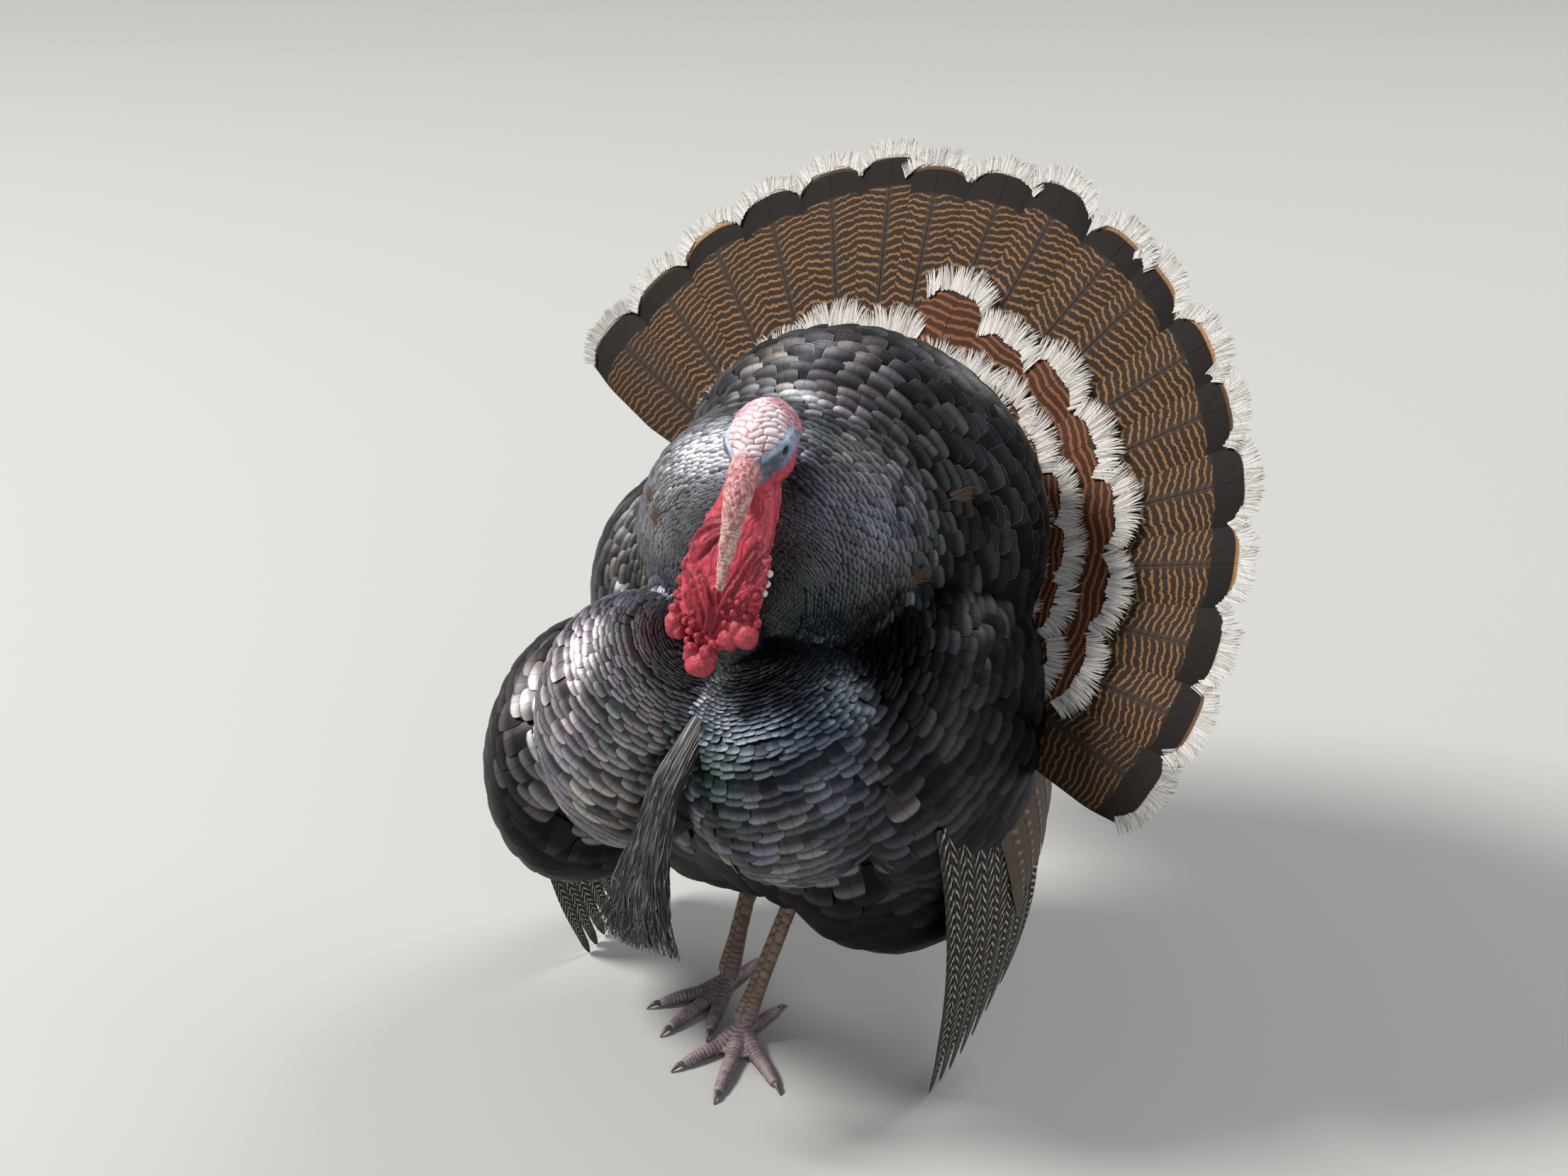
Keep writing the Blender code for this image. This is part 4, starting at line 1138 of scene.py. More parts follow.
# The blue fold from behind each eye to the snood, in the skull's frame on its left.
BLUE_FOLD = ((0.0225, 0.004, 0.0135), (0.0236, -0.006, 0.0125), (0.0234, -0.015, 0.0104),
             (0.0208, -0.0245, 0.0076), (0.0152, -0.0330, 0.0044), (0.0105, -0.0385, 0.0010))
BLUE_FOLD_RADII = (0.0010, 0.0018, 0.0024, 0.0024, 0.0020, 0.0012)
EYE_OUTWARD = (1.0, -0.45, 0.12)
# The ball under an eye's lids: how far in from the eye it sits, and its radius.
LID_BALL = (0.0052, 0.0086)
LID_TILT = 0.62
# The inner and the outer lid: how far out from the eye, radius, thickness, and how open.
LIDS = ((0.0042, 0.0060, 0.0017, 0.54), (0.0022, 0.0080, 0.0019, 0.68))

WHITE_SKIN = (0.76, 0.66, 0.68)
PINK = (0.43, 0.12, 0.15)
ROSE = (0.43, 0.055, 0.085)
ROSE_TOPS = (0.52, 0.20, 0.24)
LILAC = (0.52, 0.36, 0.46)
FLUSH = np.array((0.96, 0.62, 0.66))
LAVENDER = (0.30, 0.35, 0.53)
PERIWINKLE = (0.42, 0.47, 0.64)
GREY = (0.135, 0.150, 0.215)
BLUE = (0.34, 0.47, 0.62)
PALE_BLUE = (0.52, 0.63, 0.72)
RED = (0.60, 0.068, 0.100)
# Painted shade in the throat's creases and valleys.
PAINTED_CREASE_SHADE = (0.23, 0.012, 0.026)
CARUNCLE_RED = (0.64, 0.095, 0.120)
SNOOD_LOW = (0.70, 0.53, 0.47)
SNOOD_HIGH = (0.68, 0.38, 0.38)
PEARL = (0.70, 0.66, 0.64)
# Painted shade of the neck where it runs in under the feathers: dark red, then near black.
SHADED_NECK_RED = (0.15, 0.022, 0.032)
UNDER_FEATHER_SHADE = (0.030, 0.028, 0.031)
HIGH_LEG = np.array((0.245, 0.165, 0.120))
LOW_LEG = np.array((0.285, 0.215, 0.225))
LEG_CRACK = np.array((0.065, 0.040, 0.040))


def evaluated(points, faces, colours, modify):
    """The mesh that points and faces become under the modifiers that modify adds."""
    obj = added("raw", mesh_from("raw", points - OFFSET, faces, (), colours))
    modify(obj.modifiers)
    graph = bpy.context.evaluated_depsgraph_get()
    made = bpy.data.meshes.new_from_object(obj.evaluated_get(graph))
    bpy.data.objects.remove(obj, do_unlink=True)
    return made


def read_rows(items, key, width, kind=np.float32):
    """One property of every item, a row for each."""
    rows = np.empty(len(items) * width, kind)
    items.foreach_get(key, rows)
    return rows.reshape(-1, width)


def melt_together(blocks, voxel):
    """Joins closed forms into one skin: a voxel remesh of them all, then a light smoothing."""

    def modify(modifiers):
        remesh = modifiers.new("join", "REMESH")
        remesh.mode = "VOXEL"
        remesh.voxel_size = voxel
        smooth = modifiers.new("smooth", "SMOOTH")
        smooth.factor = 0.5
        smooth.iterations = SMOOTH_ROUNDS

    made = evaluated(*joined(blocks), (), modify)
    points = read_rows(made.vertices, "co", 3).astype(float)
    normals = read_rows(made.vertex_normals, "vector", 3).astype(float)
    return points, normals, read_rows(made.loops, "vertex_index", 1, np.int32).reshape(-1, 4)


def thinned(points, quads, tints, zones, share):
    """Collapses the flatter faces of a fine mesh, down to a share of them."""

    def modify(modifiers):
        modifiers.new("thin", "DECIMATE").ratio = share

    made = evaluated(points, [quads], (("tint", tints), ("zones", zones)), modify)
    made.calc_loop_triangles()
    colours = [read_rows(made.color_attributes[title].data, "color", 4) for title in ("tint", "zones")]
    triangles = read_rows(made.loop_triangles, "vertices", 3, np.int32)
    return read_rows(made.vertices, "co", 3).astype(float), [NO_QUADS, triangles], *colours


def ring_form(centre, axis, radius, thick, tilt, squash, sides=32, around=10):
    """A torus about an axis, for an eyelid; squash flattens its opening, tilt turns it."""
    axis = Vector(axis).normalized()
    turn_to = axis.to_track_quat("Z", "Y").to_matrix() @ Matrix.Rotation(tilt, 3, "Z")
    turn = np.linspace(0, 2 * math.pi, sides, endpoint=False)
    roll = np.linspace(0, 2 * math.pi, around, endpoint=False)
    out = radius + thick * np.cos(roll)[None, :]
    points = np.stack([out * np.cos(turn)[:, None], out * np.sin(turn)[:, None] * squash,
                       np.repeat(thick * np.sin(roll)[None], sides, 0)], -1).reshape(-1, 3)
    index = numbered(sides, around)
    after = np.roll(index, -1, 0)
    quads = np.stack([index, after, np.roll(after, -1, 1), np.roll(index, -1, 1)], -1).reshape(-1, 4)
    return points @ np.array(turn_to).T + np.array(centre), [quads, NO_TRIANGLES]


def head_local(points):
    """Points in the skull's own frame: x to its left, y back, z up."""
    turn = np.array(Matrix.Rotation(-HEAD_YAW, 3, "Z"))
    return (points - np.array(HEAD_CENTRE)) @ turn.T


def from_head(points):
    """Points of the skull's own frame in the plan of the solids."""
    turn = np.array(Matrix.Rotation(HEAD_YAW, 3, "Z"))
    return np.asarray(points) @ turn.T + np.array(HEAD_CENTRE)


def mirrored(points, sign):
    """The same points on the skull's left (1) or right (-1)."""
    return np.array(points) * np.array((sign, 1.0, 1.0))


def eye_pose(sign):
    """Centre and outward direction of the eye on the skull's left (1) or right (-1)."""
    outward = unit(from_head(mirrored(EYE_OUTWARD, sign)) - from_head((0, 0, 0)))
    return from_head(mirrored(EYE_PLACE, sign)), outward


def cells(points, scale):
    """Distances to the two nearest cell centres of a cellular pattern, in cells."""
    found = [noise.voronoi(Vector(point) * scale)[0][:2] for point in points]
    return np.array(found).T


def pillow(values, power=4):
    """1 in the middle of each unit step and 0 in the crack between two."""
    return 1 - np.abs(2 * np.modf(np.abs(values))[0] - 1) ** power


def nearest_on(path, points):
    """For each point the place along a path, from 0 to 1, and its distance."""
    gaps = np.linalg.norm(points[:, None] - path[None], axis=-1)
    nearest = gaps.argmin(1)
    return nearest / (len(path) - 1), gaps[np.arange(len(points)), nearest]


def little_caruncles():
    """Grains of skin strewn along both borders of the throat."""
    path, across, depth, _ = path_rings(THROAT_PATH, THROAT_RADII, 10)
    draws = np.random.default_rng(7)
    grains = []
    for _ in range(LITTLE_CARUNCLES):
        share = 0.22 + 0.70 * draws.random() ** 0.8
        turn = draws.choice((-0.16, math.pi + 0.16)) + draws.normal(0, 0.16)
        low = int(share * (len(path) - 1))
        centre = path[low] + across[low] * math.cos(turn) * 0.97 - depth[low] * math.sin(turn) * 0.93
        size = 0.0014 + 0.0020 * draws.random()
        grains.append(ball(centre, (size, size, size * 1.3), 14, 8))
    return grains


def head_blocks():
    """The closed forms that melt into the bare head and neck."""
    skull, quads = lobed_form((0, 0, 0), HEAD_LOBES, HEAD_BLEND, HEAD_REACH, HEAD_CUTS, -HEAD_DEPTH)
    blocks = [
        (from_head(skull), [quads, NO_TRIANGLES]),
        tube_mesh(NECK_PATH, NECK_RADII, 40, 10),
        tube_mesh(THROAT_PATH, THROAT_SKIN_RADII, 44, 10),
        tube_mesh(SNOOD_PATH, SNOOD_RADII, 28, 10),
    ]
    blocks += [tube_mesh(path, radii, 16, 8) for path, radii in FOLDS]
    blocks += [ball(centre, radii, 28, 18) for centre, radii in BIG_CARUNCLES]
    blocks += [ball(centre, (radius,) * 3) for centre, radius in LOW_CARUNCLES]
    bead = (BEAD_RADIUS, BEAD_RADIUS, BEAD_RADIUS * 1.12)
    blocks += [ball(centre, bead, 16, 10) for centre in WHITE_BEADS]
    blocks += little_caruncles()
    for sign in (-1, 1):
        eye, outward = eye_pose(sign)
        blocks.append(ball(eye - outward * LID_BALL[0], (LID_BALL[1],) * 3, 24, 16))
        for out, radius, thick, squash in LIDS:
            blocks.append(ring_form(eye + outward * out, outward, radius, thick, sign * LID_TILT, squash))
        blocks.append(tube_mesh(from_head(mirrored(BLUE_FOLD, sign)), BLUE_FOLD_RADII, 14, 8))
    return blocks


def mixed(share, first, second):
    """Blends two colours, or rows of colours, by a share for each point."""
    return np.asarray(first) * (1 - share[:, None]) + np.asarray(second) * share[:, None]


def lump_gaps(points, lumps):
    """How far each point lies from each lump's centre, in the lump's own radii."""
    return [np.linalg.norm((points - np.array(centre)) / np.array(radii), axis=1)
            for centre, radii in lumps]


def fold_valleys(points):
    """1 in the valley along each fold of the throat, and 0 elsewhere."""
    valley = np.zeros(len(points))
    crest = np.zeros(len(points))
    for path, radii in FOLDS:
        along, gap = nearest_on(smooth_path(path, 8), points)
        past = gap - np.interp(along, np.linspace(0, 1, len(radii)), radii)
        own = smoothstep(past, -0.0012, 0.0004) * (1 - smoothstep(past, 0.0010, 0.0034))
        valley = np.maximum(valley, own)
        crest = np.maximum(crest, 1 - smoothstep(past, -0.0016, -0.0002))
    return valley * (1 - crest)


def lump_valleys(points):
    """How deep in the crease round a lump of the throat's lower end, and how far up a lump."""
    valley = np.zeros(len(points))
    crest = np.zeros(len(points))
    lumps = [(centre, (radius,) * 3) for centre, radius in LOW_CARUNCLES] + list(BIG_CARUNCLES)
    for (_, radii), size in zip(lumps, lump_gaps(points, lumps)):
        past = (size - 1) * min(radii)
        own = smoothstep(past, -0.0006, 0.0004) * (1 - smoothstep(past, 0.0006, 0.0024))
        valley = np.maximum(valley, own)
        crest = np.maximum(crest, 1 - smoothstep(past, -0.0008, 0.0001))
    return valley * (1 - crest), crest


def crown_pattern(at):
    """Rows of swollen skin in a V about the middle line, each broken into lumps."""
    arc = np.where(at.turn > 0.75, at.turn * 0.036, 0.027 - (0.75 - at.turn) * 0.052)
    run = arc - 0.46 * at.side + 4.0 * at.side**2 + 0.0026 * at.wander + 0.0008 * at.ripple
    rows = run / (0.0060 - 0.0012 * smoothstep(at.turn, 1.2, 2.3))
    number = np.floor(rows)
    wide = 0.0130 - 0.0050 * hashed(number + 40.0)
    lump = (at.x + 0.0014 * at.ripple) / wide + 0.5 * np.mod(number, 2) + 0.25 * hashed(number + 9.0)
    return pillow(rows, 5) * (0.18 + 0.82 * pillow(lump + 20.0, 8))


def head_places(points):
    """What the relief and the colours have to know of each point of the bare skin: its place on the
    head, the noises there, and how far it lies on the crown, the face, the snood and the throat."""
    at = SimpleNamespace()
    at.x, at.y, at.z = head_local(points).T
    at.side = np.abs(at.x)
    skull_side = np.stack([at.side, at.y, at.z], -1)
    at.wander = smooth_noise(points, 75.0)
    at.ripple = smooth_noise(points, 210.0, 4.0)
    at.grains = cells(points, 520.0)
    at.turn = np.arctan2(at.z + 0.016, -(at.y - 0.004))
    at.crown = crown_pattern(at)
    at.along_snood, to_snood = nearest_on(smooth_path(SNOOD_PATH, 10), points)
    snood_size = np.interp(at.along_snood, np.linspace(0, 1, len(SNOOD_RADII)), SNOOD_RADII)
    on_snood = 1 - smoothstep(to_snood, snood_size * 1.08, snood_size * 1.45 + 0.001)
    at.on_snood = on_snood * smoothstep(at.along_snood, 0.10, 0.19)
    at.along_throat, _ = nearest_on(smooth_path(THROAT_PATH, 10), points)
    at.low = smoothstep(-at.z, 0.014, 0.030)
    _, at.to_fold = nearest_on(smooth_path(BLUE_FOLD, 8), skull_side)
    edge = np.where(at.y < 0, -0.0035 + 0.62 * at.side, -0.0035 + 0.62 * at.side - 0.55 * at.y)
    on_crown = smoothstep(at.z, edge, edge + 0.003) * (1 - at.on_snood) * (1 - at.low)
    at.on_crown = on_crown * smoothstep(at.to_fold, 0.0022, 0.0034)
    at.to_eye = np.linalg.norm(skull_side - np.array(EYE_PLACE), axis=1)
    at.on_face = (1 - at.on_crown) * (1 - at.on_snood) * (1 - smoothstep(-at.z, 0.010, 0.024))
    at.throat = at.low * (1 - at.on_snood)
    at.swollen = 1 - smoothstep(np.min(lump_gaps(points, BIG_CARUNCLES), 0), 1.02, 1.25)
    lump_valley, at.lump_crest = lump_valleys(points)
    at.valley = np.maximum(fold_valleys(points) * (1 - at.lump_crest), lump_valley)
    bead_gap = np.min([np.linalg.norm(points - np.array(bead), axis=1) for bead in WHITE_BEADS], 0)
    at.pearl = 1 - smoothstep(bead_gap, BEAD_RADIUS * 1.10, BEAD_RADIUS * 1.35)
    at.along_neck, to_neck = nearest_on(smooth_path(NECK_PATH, 10), points)
    at.on_neck = 1 - smoothstep(to_neck, 0.030, 0.036)
    return at


def head_height(points, at):
    """How far the bare skin rises over its melted forms."""
    pebbles = cells(points * np.array((1, 1, 0.62)), 390.0)
    # Folds of the throat, all running down to one foot between the caruncles.
    from_foot = points - FOLD_FOOT
    swing = np.arctan2(from_foot[:, 0], from_foot[:, 2] + 0.004)
    broad = pillow(swing * 6.0 + 1.0 * at.wander + 30.3, 2)
    narrow = pillow(swing * 19.0 + 1.6 * at.wander + 0.5 * at.ripple + 30.7, 2)
    beaded = smoothstep(at.side, 0.020, 0.032) * smoothstep(at.along_throat, 0.15, 0.40)
    beaded = np.maximum(beaded, 0.75 * smoothstep(at.along_throat, 0.78, 0.90))
    beaded = beaded * (1 - 0.85 * at.swollen)
    bead_rise = 1 - np.clip(cells(points, 190.0)[0] * 1.25, 0, 1) ** 2
    pebble_rise = 1 - np.clip(pebbles[0] * 1.4, 0, 1) ** 2
    open_folds = at.throat * (1 - beaded) * (1 - at.swollen) * (1 - at.lump_crest)
    dents = np.exp(-((at.ripple * 6.0) ** 2))
    height = at.on_crown * (at.crown * 0.0030 - 0.0012 + 0.0004 * at.ripple)
    height += at.on_face * (0.00030 * (1 - at.grains[0]) + 0.0003 * at.ripple - 0.0001)
    height += at.on_snood * (0.0007 * pebble_rise + 0.0006 * at.ripple - 0.0004)
    height += open_folds * (0.0004 * broad + 0.0006 * narrow - 0.0007 + 0.0006 * at.wander)
    height += at.throat * beaded * (1 - at.lump_crest) * (0.0012 * bead_rise - 0.0006)
    height -= at.throat * 0.0007 * at.valley
    height += at.throat * at.swollen * (0.0011 * at.wander - 0.0005 * dents)
    return height


def crown_colour(at):
    """White swellings over pink in front, and rose and lilac ones behind."""
    tops = smoothstep(at.crown + 0.15 * at.ripple, 0.12, 0.62)
    sideways = 26.0 * np.maximum(at.side - 0.010, 0)
    back = smoothstep(at.turn + 0.45 * at.wander + sideways, 1.42, 1.95)
    upper_tops = mixed(smoothstep(at.ripple, 0.0, 0.35), ROSE_TOPS, LILAC)
    colour = mixed(back, mixed(tops, PINK, WHITE_SKIN), mixed(tops, ROSE, upper_tops))
    flushed = smoothstep(at.wander + 0.5 * at.ripple, -0.05, 0.40) * (1 - back) * 0.42
    return mixed(flushed, colour, colour * FLUSH)


def face_colour(at, on_fold):
    """Lavender to grey towards the bill, with the pale blue fold, reddening to the throat."""
    toward_bill = smoothstep(-at.y - 0.6 * at.z, 0.016, 0.030)
    cheek = mixed(smoothstep(at.wander - at.ripple, -0.15, 0.35), LAVENDER, PERIWINKLE)
    colour = mixed(toward_bill, cheek, GREY) * (0.90 + 0.6 * at.ripple)[:, None]
    fold = mixed(smoothstep(at.ripple + 0.5 * at.wander, -0.10, 0.30), BLUE, PALE_BLUE)
    colour = mixed(on_fold, colour, fold)
    lid_shade = 0.40 * smoothstep(0.0088 - at.to_eye, 0.0, 0.0022) * (1 - on_fold)
    colour = colour * (1 - lid_shade[:, None])
    reddening = smoothstep(-at.z + 0.34 * (at.y + 0.012) + 0.005 * at.wander, 0.005, 0.013)
    return mixed(reddening, colour, RED)


def throat_colour(at, height):
    """Red, darkened by painted shade in the creases and valleys, and pinker on the big caruncles."""
    crease = (1 - smoothstep(height, -0.0007, 0.0003)) * (1 - at.lump_crest)
    colour = mixed(np.clip(0.6 * crease + 0.72 * at.valley, 0, 0.92), RED, PAINTED_CREASE_SHADE)
    colour = colour * (1 + 0.30 * at.ripple)[:, None]
    paling = smoothstep(at.x, 0.002, 0.020) * (1 - smoothstep(at.along_throat, 0.30, 0.62))
    colour = colour + (0.10 * paling * smoothstep(0.55 - at.grains[0], 0, 0.3))[:, None]
    return mixed(0.45 * at.swollen, colour, CARUNCLE_RED)


def head_relief(points):
    """Height, colour with roughness, and zones of the bare skin: snood, face, throat, upper snood."""
    at = head_places(points)
    height = head_height(points, at)
    on_fold = (1 - smoothstep(at.to_fold, 0.0018, 0.0038)) * (at.y < 0.012)
    snood_high = 1 - smoothstep(at.along_snood, 0.30, 0.62)
    snood_colour = mixed(snood_high, SNOOD_LOW, SNOOD_HIGH)
    body = np.clip(1 - at.on_face - at.on_crown - at.on_snood, 0, 1)
    total = at.on_face + at.on_crown + at.on_snood + body
    colour = face_colour(at, on_fold) * at.on_face[:, None] + crown_colour(at) * at.on_crown[:, None]
    colour = colour + throat_colour(at, height) * body[:, None] + snood_colour * at.on_snood[:, None]
    colour = colour / np.maximum(total, 1e-6)[:, None]
    colour = mixed(at.pearl, colour, PEARL)
    # Painted shade: the neck darkens to a dark red and then to near black where it runs in under the
    # feathers.
    neck_shade = at.on_neck * smoothstep(at.along_neck + 0.08 * at.wander, 0.62, 0.74)
    colour = mixed(neck_shade, colour, SHADED_NECK_RED)
    colour = mixed(at.on_neck * smoothstep(at.along_neck, 0.74, 0.80), colour, UNDER_FEATHER_SHADE)
    gloss = 0.56 - 0.06 * at.low - 0.05 * at.swollen
    zones = np.stack([at.on_snood * (1 - at.pearl), np.clip(at.on_face, 0, 1) * (1 - on_fold),
                      at.throat * (1 - at.pearl), snood_high], -1)
    return height * (1 - at.pearl), np.clip(np.column_stack([colour, gloss]), 0.003, 1), zones


def palm_of(joint):
    """Where the toes of a foot meet, below its joint."""
    return joint + Vector((0, -0.006, -PALM_DROP))


def leg_tubes(plan):
    """The shank and toes of one leg: path and radii of each."""
    ankle, joint = Vector(plan["shank"][0]), Vector(plan["shank"][1])
    shank = (ankle, ankle.lerp(joint, 0.35), ankle.lerp(joint, 0.75), joint)
    palm = palm_of(joint)
    tubes = [(shank, SHANK_RADII)]
    toes = [(tip, TOE_RADII) for tip in plan["toes"]] + [(plan["hind"], HIND_RADII)]
    for tip, radii in toes:
        end = Vector(tip) + Vector((0, 0, TOE_HEIGHT))
        path = [palm.lerp(end, share) for share in (0, 0.4, 0.75, 1)]
        for point in path[1:3]:
            point.z = TOE_HEIGHT + 0.0015
        tubes.append((path, radii))
    return tubes


def leg_blocks(plan):
    """The closed forms that melt into one leg, with a web between two toes."""
    blocks = [tube_mesh(path, radii, 22, 10, shrink=0.0003) for path, radii in leg_tubes(plan)]
    joint = np.array(plan["shank"][1])
    for toe, after in zip(plan["toes"], plan["toes"][1:]):
        web = joint * 0.62 + (np.array(toe) + np.array(after)) * 0.19
        web[2] = 0.0058
        blocks.append(ball(web, (0.0085, 0.0085, 0.0032)))
    return blocks


def leg_relief(points, plan):
    """Scutes across the toes, plates down the front of the shank, small scales elsewhere."""
    best = np.full(len(points), 1e9)
    height = np.zeros(len(points))
    grains = cells(points, 330.0)
    small = smoothstep(grains[1] - grains[0], 0.0, 0.30)
    ripple = smooth_noise(points, 160.0, 2.0)
    for number, (path, radii) in enumerate(leg_tubes(plan)):
        line = smooth_path(path, 30)
        share, gap = nearest_on(line, points)
        length = np.linalg.norm(np.diff(line, axis=0), axis=1).sum()
        radius = np.interp(share, np.linspace(0, 1, len(radii)), radii)
        own = gap / radius
        spot = line[np.clip((share * (len(line) - 1)).astype(int), 0, len(line) - 1)]
        out = (points - spot) / np.maximum(gap, 1e-6)[:, None]
        if number == 0:
            swing = np.arctan2(out[:, 0], -out[:, 1])
            rows = share * length / 0.0078 - 0.25 * np.abs(swing) + 0.10 * ripple
            half = np.where(swing > 0, 0.0, 0.5)
            plate = np.minimum(pillow(rows + half + 20.0, 3), pillow(swing / 1.25 + 20.0, 6))
            front = smoothstep(-out[:, 1], -0.30, 0.05)
        else:
            plate = pillow(share * length / 0.0040 + 0.10 * ripple, 3)
            front = smoothstep(out[:, 2], -0.10, 0.25)
        height = np.where(own < best, plate * front + small * (1 - front), height)
        best = np.minimum(best, own)
    crack = (1 - smoothstep(height, 0.15, 0.72))[:, None]
    low = smoothstep(0.045 - points[:, 2], 0.0, 0.030)[:, None]
    skin = HIGH_LEG * (1 - low) + LOW_LEG * low
    mottle = smooth_noise(points, 120.0, 9.0)[:, None]
    colour = skin * (1 + 0.40 * mottle) * (1 - 0.85 * crack) + LEG_CRACK * 0.85 * crack
    rough = np.full(len(points), 0.48)
    return height * LEG_RELIEF - 0.0005, np.column_stack([colour, rough]), np.zeros((len(points), 4))


def melted_part(blocks, voxel, relief, kept):
    """One bare part of the skin: its forms melted together, raised by its relief, and thinned."""
    points, normals, quads = melt_together(blocks, voxel)
    height, colour, zones = relief(points)
    return thinned(points + normals * height[:, None], quads, colour, zones, kept)


def make_skin(material):
    """One skin over body, head and legs, inside the coat."""
    points, quads = lobed_form(BODY_CENTRE, BODY_LOBES, LOBE_BLEND, BODY_REACH, BODY_CUTS, -SKIN_DEPTH)
    plucked = per_point(np.array([DARK_DOWN_AND_GAP_SHADE]), len(points))
    parts = [(points, [quads, NO_TRIANGLES], plucked, np.zeros((len(points), 4)))]
    parts.append(melted_part(head_blocks(), HEAD_VOXEL, head_relief, HEAD_KEPT))
    for plan in LEGS.values():
        relief = partial(leg_relief, plan=plan)
        parts.append(melted_part(leg_blocks(plan), LEG_VOXEL, relief, LEG_KEPT))
    points, faces = joined([part[:2] for part in parts])
    points[:, 2] = np.maximum(points[:, 2], 0.0)
    colours = [(title, np.concatenate([part[k] for part in parts]))
               for k, title in ((2, "tint"), (3, "zones"))]
    skin = piece("skin", mesh_from("skin", points, faces, (), colours), material, SMOOTH_ANGLE)
    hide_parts(*LOBES, "head", "neck", "throat", "snood", "caruncle_left", "caruncle_middle",
                "caruncle_right", "shank_left", "shank_right", "foot_left", "foot_right")


# ---- eyes, bill, claws and spurs ----

BILL_TILT = math.radians(42.0)
BILL_ROOT = np.array((0.0, -0.040, -0.014))
BILL_GAP = 0.0003
# The bill's halves: length, half width, half depth, droop of the tip, and side of the gap.
BILL = {
    "bill_upper": (0.034, 0.0105, 0.0070, -0.006, 1.0),
    "bill_lower": (0.027, 0.0085, 0.0040, -0.002, -1.0),
}
# Width and depth along the bill, as shares of its own, before its tip.
BILL_TAPER = ((1, 1), (0.85, 0.9), (0.55, 0.7))
BILL_TIP = (0.002, 0.0015)
CLAW_LENGTH = 0.0145
CLAW_RADII = (0.0032, 0.0024, 0.0008)
SPUR_RADII = (0.0050, 0.0036, 0.0010)
SPUR_REACH = Vector((0.002, 0.022, 0.004))


def make_eyes(material):
    """Eyeballs, mapped by the angle from where they look."""
    for side, sign in (("left", 1), ("right", -1)):
        centre, outward = eye_pose(sign)
        points, faces = ball(centre, (EYE_RADIUS * 0.97,) * 3, 40, 28)
        off_axis = np.arccos(np.clip(unit(points - centre) @ outward, -1, 1))
        place = np.stack([off_axis / math.pi, np.zeros(len(points))], -1)
        mesh = mesh_from("eye_" + side + "_ball", points, faces, (("UVMap", place),))
        eye = piece("eye_" + side + "_ball", mesh, material, SMOOTH_ANGLE)
        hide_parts("eye_" + side)


def hook(name, path, radii, material):
    """A smooth tapering horn."""
    points, faces = tube_mesh(path, radii, 18, 8)
    points[:, 2] = np.maximum(points[:, 2], 0.0)
    mesh = mesh_from(name + "_horn", points, faces)
    obj = piece(name + "_horn", mesh, material, SMOOTH_ANGLE)
    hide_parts(name)


def make_horn():
    """Bill, claws and spurs."""
    bill = horn_material("bill_horn", (0.10, 0.095, 0.09), (0.26, 0.24, 0.21))
    claw = horn_material("claw_horn", (0.055, 0.048, 0.044), (0.17, 0.14, 0.115))
    tilt = np.array(Matrix.Rotation(BILL_TILT, 3, "X"))
    for name, (length, wide, deep, droop, above) in BILL.items():
        lift = above * (deep + BILL_GAP)
        path = [(0, -length * t, lift + droop * t * t) for t in (-0.4, 0.3, 0.7, 1.0)]
        radii = [(wide * across, deep * depth) for across, depth in BILL_TAPER]
        hook(name, from_head(np.array(path) @ tilt.T + BILL_ROOT), (*radii, BILL_TIP), bill)
    for side, plan in LEGS.items():
        ankle, joint = Vector(plan["shank"][0]), Vector(plan["shank"][1])
        toes = [(tip, TOE_RADII[-1]) for tip in plan["toes"]] + [(plan["hind"], HIND_RADII[-1])]
        for number, (tip, radius) in enumerate(toes, 1):
            end = Vector(tip) + Vector((0, 0, TOE_HEIGHT))
            heading = (end - palm_of(joint)).normalized()
            level = Vector((heading.x, heading.y, 0)).normalized()
            start = end + heading * radius * 0.2
            path = (start, start + level * CLAW_LENGTH * 0.5 + Vector((0, 0, 0.0009)),
                    start + level * CLAW_LENGTH + Vector((0, 0, -0.0030)))
            hook(f"claw_{side}_{number}", path, CLAW_RADII, claw)
        root = ankle.lerp(joint, 0.62)
        tip = root + SPUR_REACH
        hook("spur_" + side, (root, root.lerp(tip, 0.5), tip), SPUR_RADII, claw)


# ---- collar and down ----

# Small feathers that close over the lower end of the bare neck: where their rows lie along it.
COLLAR_FIRST = 0.640
COLLAR_LAST = 0.955
COLLAR_STEP = 0.016
COLLAR_ROUND = 24
COLLAR_LENGTH = 0.045
COLLAR_STATIONS = 5
COLLAR_COLUMNS = 4
COLLAR_HALF_WIDTH = 0.0033
COLLAR_ROUNDED = 0.10
# A feather of the collar is left out where its tip would lie deeper than this in the body.
COLLAR_DEEPEST = -0.004

# Tan down that shows between the feathers: where each tuft sits.
DOWN_TUFTS = (
    (0.149, 0.010, 0.538), (0.132, -0.029, 0.482), (0.130, -0.036, 0.480), (-0.086, -0.085, 0.526),
    (-0.068, -0.103, 0.517),
)
DOWN_EACH = 70
DOWN_ROWS = 5
DOWN_COLUMNS = 2
DOWN_SPREAD = 0.0030
DOWN_HALF_WIDTH = 0.00042
DOWN_CUP = 0.3
DOWN_COLOUR = (0.12, 0.082, 0.058)


